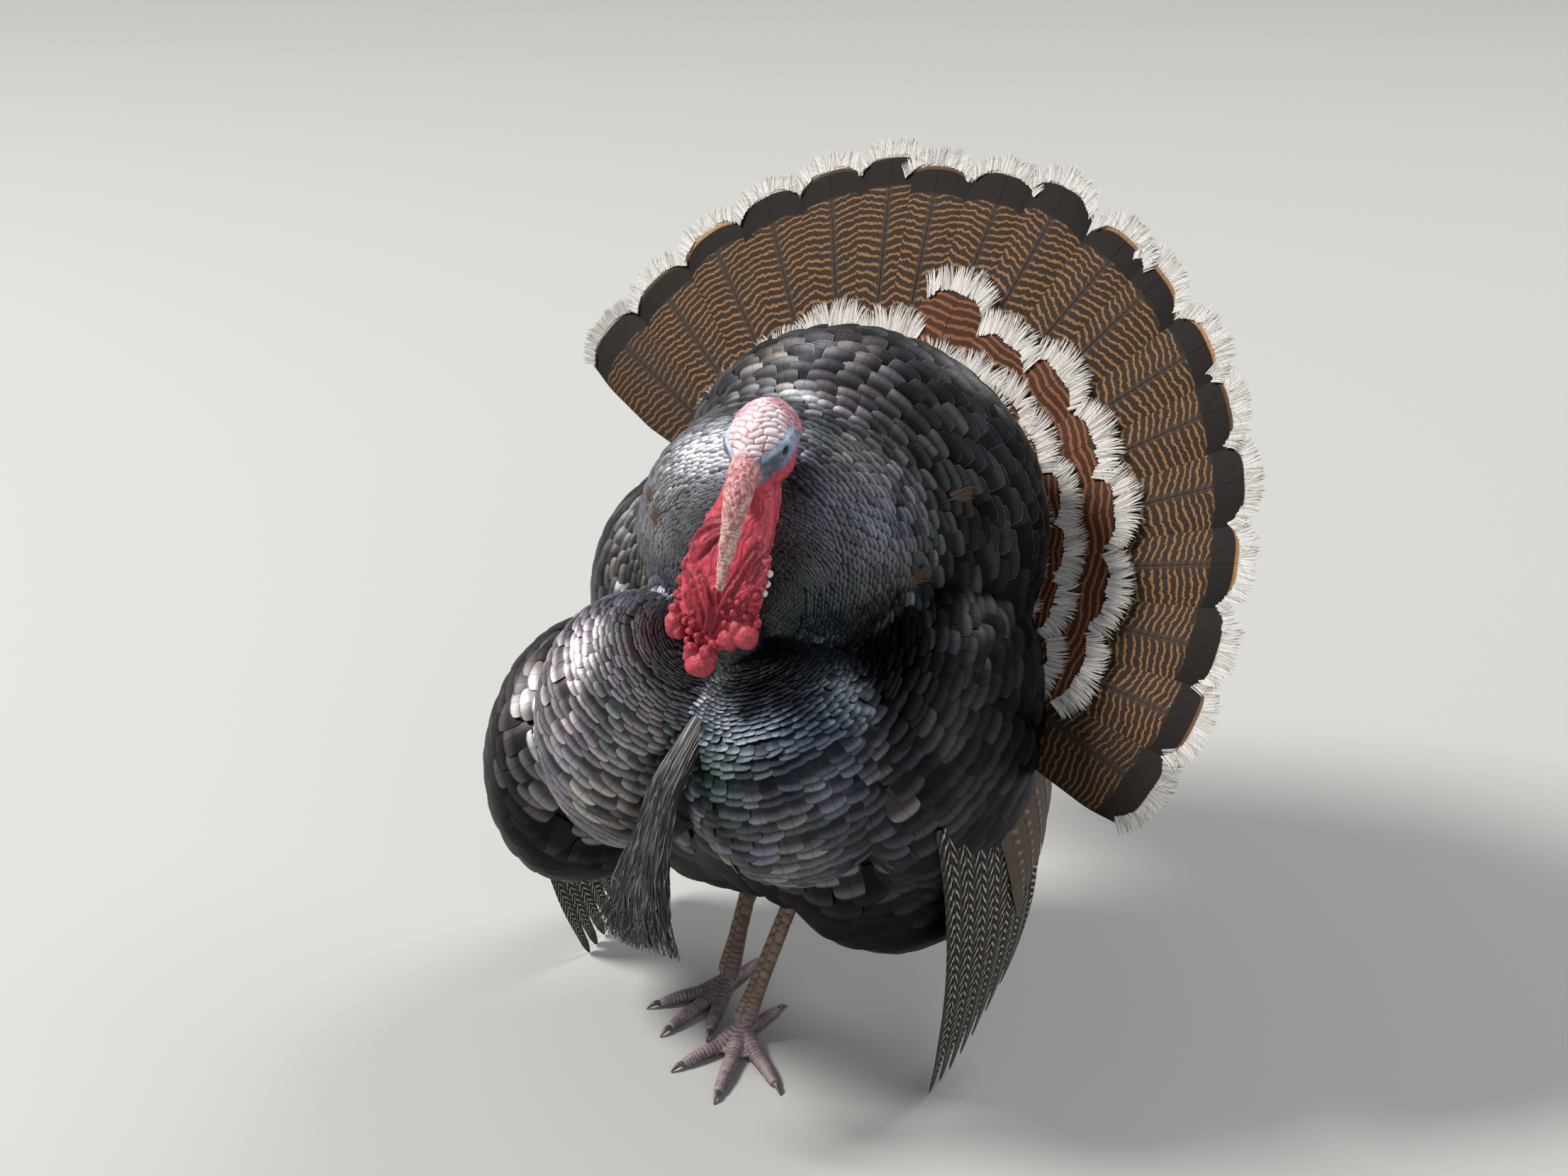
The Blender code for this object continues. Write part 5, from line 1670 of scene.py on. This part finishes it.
def make_collar(material):
    """Small feathers round the lower end of the bare neck."""
    draws = np.random.default_rng(5)
    path, across, depth, _ = path_rings(NECK_PATH, NECK_RADII, 10)
    rows = np.arange(COLLAR_FIRST, COLLAR_LAST, COLLAR_STEP)
    number = np.repeat(np.arange(len(rows)), COLLAR_ROUND)
    turn = (np.tile(np.arange(COLLAR_ROUND), len(rows)) + 0.5 * (number % 2)) / COLLAR_ROUND
    turn = turn * 2 * math.pi + draws.normal(0, 0.03, len(turn))
    first = rows[number] + draws.normal(0, 0.003, len(turn))
    # The rows fill up downwards, so that the coat's upper edge is ragged.
    kept = draws.random(len(turn)) < 0.10 + 0.16 * number
    turn, first = turn[kept], first[kept]
    along = np.linspace(0, 1, COLLAR_STATIONS)[None, :]
    share = np.minimum(first[:, None] + COLLAR_LENGTH * along, 1.0)
    centre, wide, deep = read_at(share, path, across, depth)
    out = wide * np.cos(turn)[:, None, None] + deep * np.sin(turn)[:, None, None]
    normals = unit(out)
    rise = -0.0010 + (0.0030 + 0.0010 * draws.random((len(turn), 1))) * along**1.4
    spine = centre + out + normals * rise[..., None]
    free = body_field(spine[:, -1]) > COLLAR_DEEPEST
    spine, normals, turn, first = spine[free], normals[free], turn[free], first[free]
    half = sides_of(spine, normals) * COLLAR_HALF_WIDTH * contour_width(along)[..., None]
    luck = draws.random(len(spine))
    style, _ = style_at(spine[:, 0])
    tint, rim, edge = coat_colours(spine[:, 0], style, luck)
    chart = np.stack([0.05 + 0.9 * np.mod(turn / 2 / math.pi, 1), first], -1)
    made = vanes(spine, half, normals, COLLAR_COLUMNS, COLLAR_ROUNDED, COAT_CUP, COAT_OUTLINE)
    feather_piece("feathers_collar", made, chart, (("tint", (tint, luck)), ("rim", (rim, edge))),
                  material)


def make_down(material):
    """Tufts of loose tan down."""
    draws = np.random.default_rng(11)
    count = len(DOWN_TUFTS) * DOWN_EACH
    roots = per_point(np.array(DOWN_TUFTS), DOWN_EACH) + draws.normal(0, DOWN_SPREAD, (count, 3))
    length = 0.008 + 0.007 * draws.random(count)
    tips = 0.0012 + 0.0018 * draws.random(count)
    spine, normals = march(settle(roots, 0.0), length, DOWN_ROWS, np.full(count, -0.001), tips)
    side = sides_of(spine, normals)
    share = np.linspace(0, 1, DOWN_ROWS + 1)[None, :, None]
    splay = draws.normal(0, 0.17, count)[:, None, None]
    wave = 0.0005 * np.sin(share * 7 + draws.random((count, 1, 1)) * 6.3)
    spine = spine + side * (splay * length[:, None, None] * share**1.5 + wave)
    half = side * DOWN_HALF_WIDTH * (1 - 0.6 * share)
    luck = draws.random(count)
    tint = np.array(DOWN_COLOUR) * (0.6 + 0.7 * luck[:, None])
    made = vanes(spine, half, normals, DOWN_COLUMNS, 0.0, DOWN_CUP)
    feather_piece("feathers_down", made, body_chart(roots), (("tint", (tint, luck)),), material)


# ---- materials ----

BUMP_DISTANCE = 0.0012
BLACK = (0.0, 0.0, 0.0)


class Shader:
    """A small builder of material nodes."""

    def __init__(self, name):
        self.material = bpy.data.materials.new(name)
        self.material.use_nodes = True
        self.tree = self.material.node_tree
        self.main = self.tree.nodes["Principled BSDF"]

    def feed(self, socket, value):
        """Links a socket, or sets its constant; a colour may leave out its alpha."""
        if isinstance(value, bpy.types.NodeSocket):
            self.tree.links.new(value, socket)
        elif socket.type == "RGBA" and len(value) == 3:
            socket.default_value = (*value, 1.0)
        else:
            socket.default_value = value

    def node(self, kind, settings=(), **inputs):
        made = self.tree.nodes.new(kind)
        for key, value in settings:
            setattr(made, key, value)
        for key, value in inputs.items():
            self.feed(made.inputs[key.replace("_", " ")], value)
        return made

    def listed(self, kind, values, settings=()):
        """The first output of a node whose inputs are filled in order."""
        made = self.node(kind, settings)
        for socket, value in zip(made.inputs, values):
            self.feed(socket, value)
        return made.outputs[0]

    def math(self, operation, *values):
        return self.listed("ShaderNodeMath", (*values, 0.0, 0.0)[:3], (("operation", operation),))

    def times(self, first, second):
        return self.math("MULTIPLY", first, second)

    def plus(self, first, second):
        return self.math("ADD", first, second)

    def scaled(self, value, factor, added):
        return self.math("MULTIPLY_ADD", value, factor, added)

    def vector(self, x, y, z=0.0):
        return self.listed("ShaderNodeCombineXYZ", (x, y, z))

    def fade(self, value, low, high):
        """Eases from 0 where the value is low to 1 where it is high."""
        made = self.node("ShaderNodeMapRange", (("interpolation_type", "SMOOTHSTEP"),),
                         Value=value, From_Min=low, From_Max=high)
        return made.outputs["Result"]

    def mix(self, share, first, second):
        made = self.node("ShaderNodeMix", (("data_type", "RGBA"),), Factor=share)
        self.feed(made.inputs[6], first)
        self.feed(made.inputs[7], second)
        return made.outputs[2]

    def over(self, base, colour, value, low, high, strength):
        """Lays a colour over the base, as strongly as the value comes from low to high."""
        return self.mix(self.times(self.fade(value, low, high), strength), base, colour)

    def noise(self, vector, scale, detail=3.0, output="Fac"):
        made = self.node("ShaderNodeTexNoise", Vector=vector, Scale=scale, Detail=detail)
        return made.outputs[output]

    def attribute(self, name):
        return self.node("ShaderNodeAttribute", (("attribute_name", name),)).outputs

    def object_place(self):
        return self.node("ShaderNodeTexCoord").outputs["Object"]

    def vane_map(self):
        return self.node("ShaderNodeUVMap", (("uv_map", "UVMap"),)).outputs["UV"]

    def bump(self, height, strength, distance=BUMP_DISTANCE):
        made = self.node("ShaderNodeBump", Strength=strength, Distance=distance, Height=height)
        self.feed(self.main.inputs["Normal"], made.outputs[0])

    def finish(self, colour, roughness, **numbers):
        numbers.update(Base_Color=colour, Roughness=roughness)
        for key, value in numbers.items():
            self.feed(self.main.inputs[key.replace("_", " ")], value)
        return self.material


class FeatherShader(Shader):
    """A shader that knows its place on the vane and the feather's luck.

    across runs from -1 to 1, size is the same without its sign, along runs from root to tip."""

    def __init__(self, name):
        super().__init__(name)
        place = self.node("ShaderNodeSeparateXYZ", Vector=self.vane_map()).outputs
        self.across = self.scaled(place[0], 2.0, -1.0)
        self.size = self.math("ABSOLUTE", self.across)
        self.along = place[1]
        self.luck = self.attribute("tint")["Alpha"]

    def streaks(self, fine, size=None, along=None):
        """Barbs: streaks that slant from the shaft to the vane's edge."""
        size, along = size or self.size, along or self.along
        slant = self.scaled(size, -0.22, along)
        line = self.vector(self.times(slant, fine), self.times(size, 1.3), self.times(self.luck, 40.0))
        return self.noise(line, 1.0, 5.0)

    def bars(self, dark, light, core, count, mottled, slant, thin):
        """Narrow mottled bars, bent at the shaft and darker along their middle, and their flecks."""
        line = self.vector(self.times(self.across, 2.2), self.times(self.along, 7.0),
                           self.times(self.luck, 30.0))
        wander = self.noise(line, 2.2, 3.0)
        fleck = self.noise(line, 16.0, 4.0)
        bent = self.scaled(self.size, -slant, self.along)
        bent = self.scaled(wander, 0.030, bent)
        wave = self.math("SINE", self.times(bent, count * 2 * math.pi))
        wave = self.plus(wave, self.scaled(fleck, mottled, -mottled / 2))
        bar = self.fade(wave, 0.05 + thin, 0.55 + thin)
        middle = self.times(self.fade(wave, 0.75 + thin, 1.15 + thin), 0.75)
        return self.mix(bar, dark, self.mix(middle, light, core)), fleck

    def pale_rim(self, colour, edge, soft, fine, dim, bright):
        """The stranded pale band past an edge across the tip."""
        strand = self.streaks(fine, self.times(self.across, 0.2), self.times(self.across, 0.6))
        pale = self.mix(self.fade(strand, 0.35, 0.62), dim, bright)
        return self.mix(self.fade(self.along, edge, self.plus(edge, soft)), colour, pale)


def coat_material():
    s = FeatherShader("coat")
    rim, base = s.attribute("rim"), s.attribute("tint")["Color"]
    dark = (0.006, 0.005, 0.006)
    streak = s.streaks(85.0)
    tip = s.scaled(s.math("POWER", s.size, 4.0), 0.05, s.along)
    edge = s.math("MAXIMUM", s.fade(tip, 0.968, 0.995), s.times(s.fade(s.size, 0.93, 1.0), 0.4))
    edge = s.times(edge, rim["Alpha"])
    # Painted shade: each feather darkens towards its root, where the feather above lies over it.
    base = s.over(base, dark, s.along, 0.84, 0.50, 0.80)
    base = s.over(base, dark, tip, 0.900, 0.960, 0.72)
    base = s.over(base, dark, s.size, 0.07, 0.02, 0.35)
    streaked = s.over(base, dark, streak, 0.50, 0.25, 0.45)
    s.bump(streak, 0.16, 0.0010)
    roughness = s.scaled(streak, 0.18, s.scaled(s.luck, 0.12, 0.27))
    return s.finish(s.mix(edge, streaked, rim["Color"]), roughness, Metallic=0.84,
                    Specular_IOR_Level=0.30)


def tail_material():
    s = FeatherShader("tail_quill")
    colour, _ = s.bars((0.034, 0.021, 0.014), (0.27, 0.140, 0.058), (0.12, 0.058, 0.026), 44.0, 2.3,
                       0.034, 0.30)
    grain = s.streaks(260.0)
    spread = s.node("ShaderNodeSeparateColor", Color=s.attribute("tint")["Color"]).outputs[0]
    colour = s.over(colour, (0.050, 0.036, 0.028), s.size, 0.13, 0.05, 0.85)
    colour = s.over(colour, (0.030, 0.020, 0.014), s.size, 0.80, 1.0, 0.45)
    band_start = s.scaled(grain, 0.022, s.scaled(s.luck, 0.02, 0.800))
    band = s.fade(s.along, band_start, s.plus(band_start, 0.014))
    colour = s.mix(band, colour, (0.013, 0.010, 0.009))
    tan_line = s.times(s.fade(s.along, 0.922, 0.929), s.fade(s.along, 0.948, 0.938))
    colour = s.mix(s.times(tan_line, s.fade(s.luck, 0.2, 0.8)), colour, (0.42, 0.22, 0.085))
    edge = s.scaled(grain, 0.014, 0.932)
    colour = s.pale_rim(colour, edge, 0.008, 90.0, (0.40, 0.38, 0.35), (0.72, 0.70, 0.67))
    colour = s.over(colour, (0.02, 0.015, 0.012), spread, 0.86, 1.0, 0.35)
    s.bump(grain, 0.20)
    return s.finish(s.over(colour, BLACK, grain, 0.55, 0.25, 0.45), 0.65, Specular_IOR_Level=0.12)


def covert_material():
    s = FeatherShader("tail_covert")
    colour, _ = s.bars((0.060, 0.021, 0.011), (0.22, 0.095, 0.042), (0.13, 0.045, 0.020), 21.0, 1.9,
                       0.040, 0.15)
    grain = s.streaks(150.0)
    start = s.scaled(s.math("POWER", s.size, 2.0), 0.020, 0.880)
    colour = s.mix(s.fade(s.along, start, s.plus(start, 0.02)), colour, (0.014, 0.010, 0.010))
    edge = s.scaled(grain, 0.020, s.plus(start, 0.040))
    colour = s.pale_rim(colour, edge, 0.012, 80.0, (0.36, 0.33, 0.30), (0.72, 0.69, 0.65))
    s.bump(grain, 0.25)
    return s.finish(s.over(colour, BLACK, grain, 0.5, 0.25, 0.35), 0.65, Specular_IOR_Level=0.12)


def small_covert_material():
    s = FeatherShader("tail_small_covert")
    grain = s.streaks(90.0)
    pale = s.fade(s.scaled(grain, 0.04, s.along), 0.905, 0.93)
    s.bump(grain, 0.25)
    return s.finish(s.mix(pale, (0.018, 0.014, 0.014), (0.66, 0.63, 0.59)), 0.50,
                    Specular_IOR_Level=0.40)


def under_covert_material():
    s = FeatherShader("tail_under_covert")
    colour, _ = s.bars((0.032, 0.024, 0.018), (0.20, 0.115, 0.055), (0.12, 0.06, 0.03), 11.0, 1.6,
                       0.04, 0.1)
    s.bump(s.streaks(90.0), 0.25, 0.0015)
    return s.finish(s.mix(s.fade(s.along, 0.86, 0.94), colour, (0.60, 0.50, 0.40)), 0.60)


def primary_material():
    s = FeatherShader("wing_primary")
    colour, fleck = s.bars((0.015, 0.012, 0.010), (0.46, 0.43, 0.37), (0.56, 0.53, 0.47), 31.0, 1.6,
                           0.060, 0.30)
    grey = s.mix(s.fade(fleck, 0.45, 0.75), (0.022, 0.018, 0.016), (0.085, 0.078, 0.072))
    colour = s.over(colour, grey, s.across, 0.35, 0.70, 0.85)
    colour = s.mix(s.fade(s.size, 0.10, 0.05), colour, (0.05, 0.036, 0.03))
    colour = s.over(colour, (0.040, 0.031, 0.026), s.along, 0.78, 1.0, 0.75)
    s.bump(s.streaks(170.0), 0.25)
    return s.finish(colour, 0.60, Specular_IOR_Level=0.15)


def secondary_material():
    s = FeatherShader("wing_secondary")
    colour, fleck = s.bars((0.055, 0.032, 0.021), (0.22, 0.155, 0.100), (0.16, 0.10, 0.06), 17.0, 1.9,
                           0.05, 0.25)
    plain = s.mix(s.fade(fleck, 0.35, 0.7), (0.060, 0.036, 0.024), (0.095, 0.062, 0.042))
    colour = s.mix(s.fade(s.across, -0.35, 0.25), colour, plain)
    colour = s.over(colour, (0.36, 0.29, 0.21), s.along, 0.955, 0.99, 0.6)
    s.bump(s.streaks(120.0), 0.25)
    return s.finish(colour, 0.52)


def beard_material():
    s = FeatherShader("beard_bristle")
    # Painted highlight: pale grey streaks along some bristles stand in for their sheen.
    wear_and_sheen = s.noise(s.vector(s.times(s.along, 9.0), s.times(s.luck, 60.0)), 1.0, 3.0)
    fade = s.times(s.fade(wear_and_sheen, 0.42, 0.66), s.fade(s.luck, 0.05, 0.8))
    colour = s.mix(fade, (0.024, 0.022, 0.023), (0.30, 0.285, 0.265))
    return s.finish(colour, 0.45, Specular_IOR_Level=0.5)


def skin_material():
    """Bare skin: the snood netted and grooved, face and throat wrinkled with painted shade in the
    wrinkles, all a little blotched.
    """
    s = Shader("bare_skin")
    tint, zones = s.attribute("tint"), s.attribute("zones")
    snood, face, throat = s.node("ShaderNodeSeparateColor", Color=zones["Color"]).outputs
    where = s.object_place()
    fine = s.noise(where, 1100.0, 4.0)
    blotch = s.noise(where, 190.0, 4.0)
    warp = s.noise(where, 260.0, 2.0, "Color")
    bent = s.listed("ShaderNodeVectorMath", (warp, (0.0016, 0.0016, 0.0016), where),
                    (("operation", "MULTIPLY_ADD"),))

    def stretched(share):
        return s.node("ShaderNodeMapping", Vector=bent, Scale=(1.0, 1.0, share)).outputs[0]

    def hollows(vector, scale):
        made = s.node("ShaderNodeTexVoronoi", (("feature", "SMOOTH_F1"),), Vector=vector, Scale=scale)
        return made.outputs["Distance"]

    hollow = s.mix(zones["Alpha"], hollows(bent, 640.0), hollows(stretched(0.34), 520.0))
    ruddy = s.times(s.times(s.fade(blotch, 0.44, 0.62), snood), 0.60)
    colour = s.mix(ruddy, tint["Color"], (0.46, 0.11, 0.11))
    crack = s.times(s.fade(hollow, 0.36, 0.62), snood)
    colour = s.mix(s.times(crack, 0.75), colour, (0.34, 0.065, 0.070))
    crease = s.noise(stretched(0.22), 620.0, 4.0)
    # Painted shade: the face and throat darken in the wrinkles of their bump.
    wrinkle = s.times(s.fade(crease, 0.46, 0.36), s.math("MAXIMUM", face, throat))
    painted_wrinkle_shade = s.mix(throat, (0.10, 0.075, 0.12), (0.20, 0.010, 0.022))
    colour = s.mix(s.times(wrinkle, 0.42), colour, painted_wrinkle_shade)
    colour = s.over(colour, s.mix(0.5, colour, BLACK), blotch, 0.42, 0.68, 0.28)
    lift = s.times(s.fade(hollow, 0.65, 0.15), snood)
    lift = s.scaled(crease, s.plus(face, throat), lift)
    s.bump(s.scaled(fine, 0.30, lift), 0.60, 0.0006)
    roughness = s.scaled(fine, 0.16, s.math("SUBTRACT", tint["Alpha"], 0.06))
    return s.finish(colour, roughness, Subsurface_Weight=0.10, Subsurface_Scale=0.0010,
                    Specular_IOR_Level=0.36)


def eye_material():
    s = Shader("eye")
    angle = s.node("ShaderNodeSeparateXYZ", Vector=s.vane_map()).outputs[0]
    colour = s.mix(s.fade(angle, 0.150, 0.170), (0.001, 0.001, 0.001), (0.016, 0.008, 0.005))
    colour = s.mix(s.fade(angle, 0.270, 0.30), colour, (0.010, 0.008, 0.008))
    return s.finish(colour, 0.12, Coat_Weight=0.3, Coat_Roughness=0.03, Specular_IOR_Level=0.4)


def horn_material(name, dark, light):
    s = Shader(name)
    where = s.object_place()
    fine = s.noise(where, 1500.0, 3.0)
    s.bump(fine, 0.25, 0.0004)
    return s.finish(s.mix(s.fade(s.noise(where, 140.0, 5.0), 0.3, 0.7), dark, light),
                    s.scaled(fine, 0.15, 0.30), Specular_IOR_Level=0.5)


def down_material():
    s = Shader("down")
    return s.finish(s.attribute("tint")["Color"], 0.8, Specular_IOR_Level=0.2)


# ---- studio ----

CAMERA_PLACE = (0.850, -1.690, 1.335)
CAMERA_YAW = math.radians(-26.8)
CAMERA_PITCH = math.radians(25.6)
CAMERA_FOCAL = 3406.0
IMAGE_WIDTH = 2212.0
SENSOR_WIDTH = 36.0
# Lamps: name, place, width, power and colour.  All of them point at LAMP_AIM.
LAMPS = (
    ("key", (-4.69, -1.90, 6.03), 2.0, 740.0, (1.0, 0.975, 0.94)),
    ("fill", (4.80, -3.60, 3.20), 4.4, 60.0, (0.92, 0.96, 1.0)),
    ("rim", (1.80, 4.20, 5.20), 2.8, 210.0, (1.0, 0.99, 0.97)),
)
LAMP_AIM = Vector((0, 0, 0.35))
FLOOR_REACH = 12.0
FLOOR_COLOUR = (0.46, 0.455, 0.44)
SKY_COLOUR = (0.88, 0.92, 0.98, 1.0)
SKY_STRENGTH = 0.33


def looking(heading):
    """The rotation of a camera or lamp that points this way."""
    return heading.to_track_quat("-Z", "Y").to_euler()


def make_studio():
    """The camera at the photographer's place, a floor, three lamps and a plain sky."""
    scene = bpy.context.scene
    scene.view_settings.view_transform = "Standard"
    camera_data = bpy.data.cameras.new("camera")
    camera_data.sensor_width = SENSOR_WIDTH
    camera_data.lens = CAMERA_FOCAL / IMAGE_WIDTH * SENSOR_WIDTH
    camera = added("camera", camera_data)
    camera.location = Vector(CAMERA_PLACE) + Vector(OFFSET)
    level = math.cos(CAMERA_PITCH)
    camera.rotation_euler = looking(Vector(
        (math.sin(CAMERA_YAW) * level, math.cos(CAMERA_YAW) * level, -math.sin(CAMERA_PITCH))))
    scene.camera = camera
    floor = bpy.data.meshes.new("studio_floor")
    corners = [(x * FLOOR_REACH, y * FLOOR_REACH, 0) for x, y in ((-1, -1), (1, -1), (1, 1), (-1, 1))]
    floor.from_pydata(corners, [], [(0, 1, 2, 3)])
    s = Shader("floor")
    s.bump(s.noise(s.object_place(), 60.0, 3.0), 0.05, 0.002)
    floor.materials.append(s.finish(FLOOR_COLOUR, 0.8))
    ground = added("studio_floor", floor)
    for name, place, size, power, colour in LAMPS:
        lamp = bpy.data.lights.new(name, "AREA")
        lamp.shape = "DISK"
        lamp.size = size
        lamp.energy = power
        lamp.color = colour
        light = added(name, lamp)
        light.location = place
        light.rotation_euler = looking(LAMP_AIM - Vector(place))
    world = bpy.data.worlds.new("studio")
    world.use_nodes = True
    sky = world.node_tree.nodes["Background"]
    sky.inputs["Color"].default_value = SKY_COLOUR
    sky.inputs["Strength"].default_value = SKY_STRENGTH
    scene.world = world


make_skin(skin_material())
make_eyes(eye_material())
make_horn()
make_beard(beard_material())
make_tail({"quill": tail_material(), "covert": covert_material(), "small": small_covert_material(),
           "under": under_covert_material()})
make_wings({"primaries": primary_material(), "secondaries": secondary_material()})
coat = coat_material()
make_coat(coat)
make_collar(coat)
make_down(down_material())
make_studio()
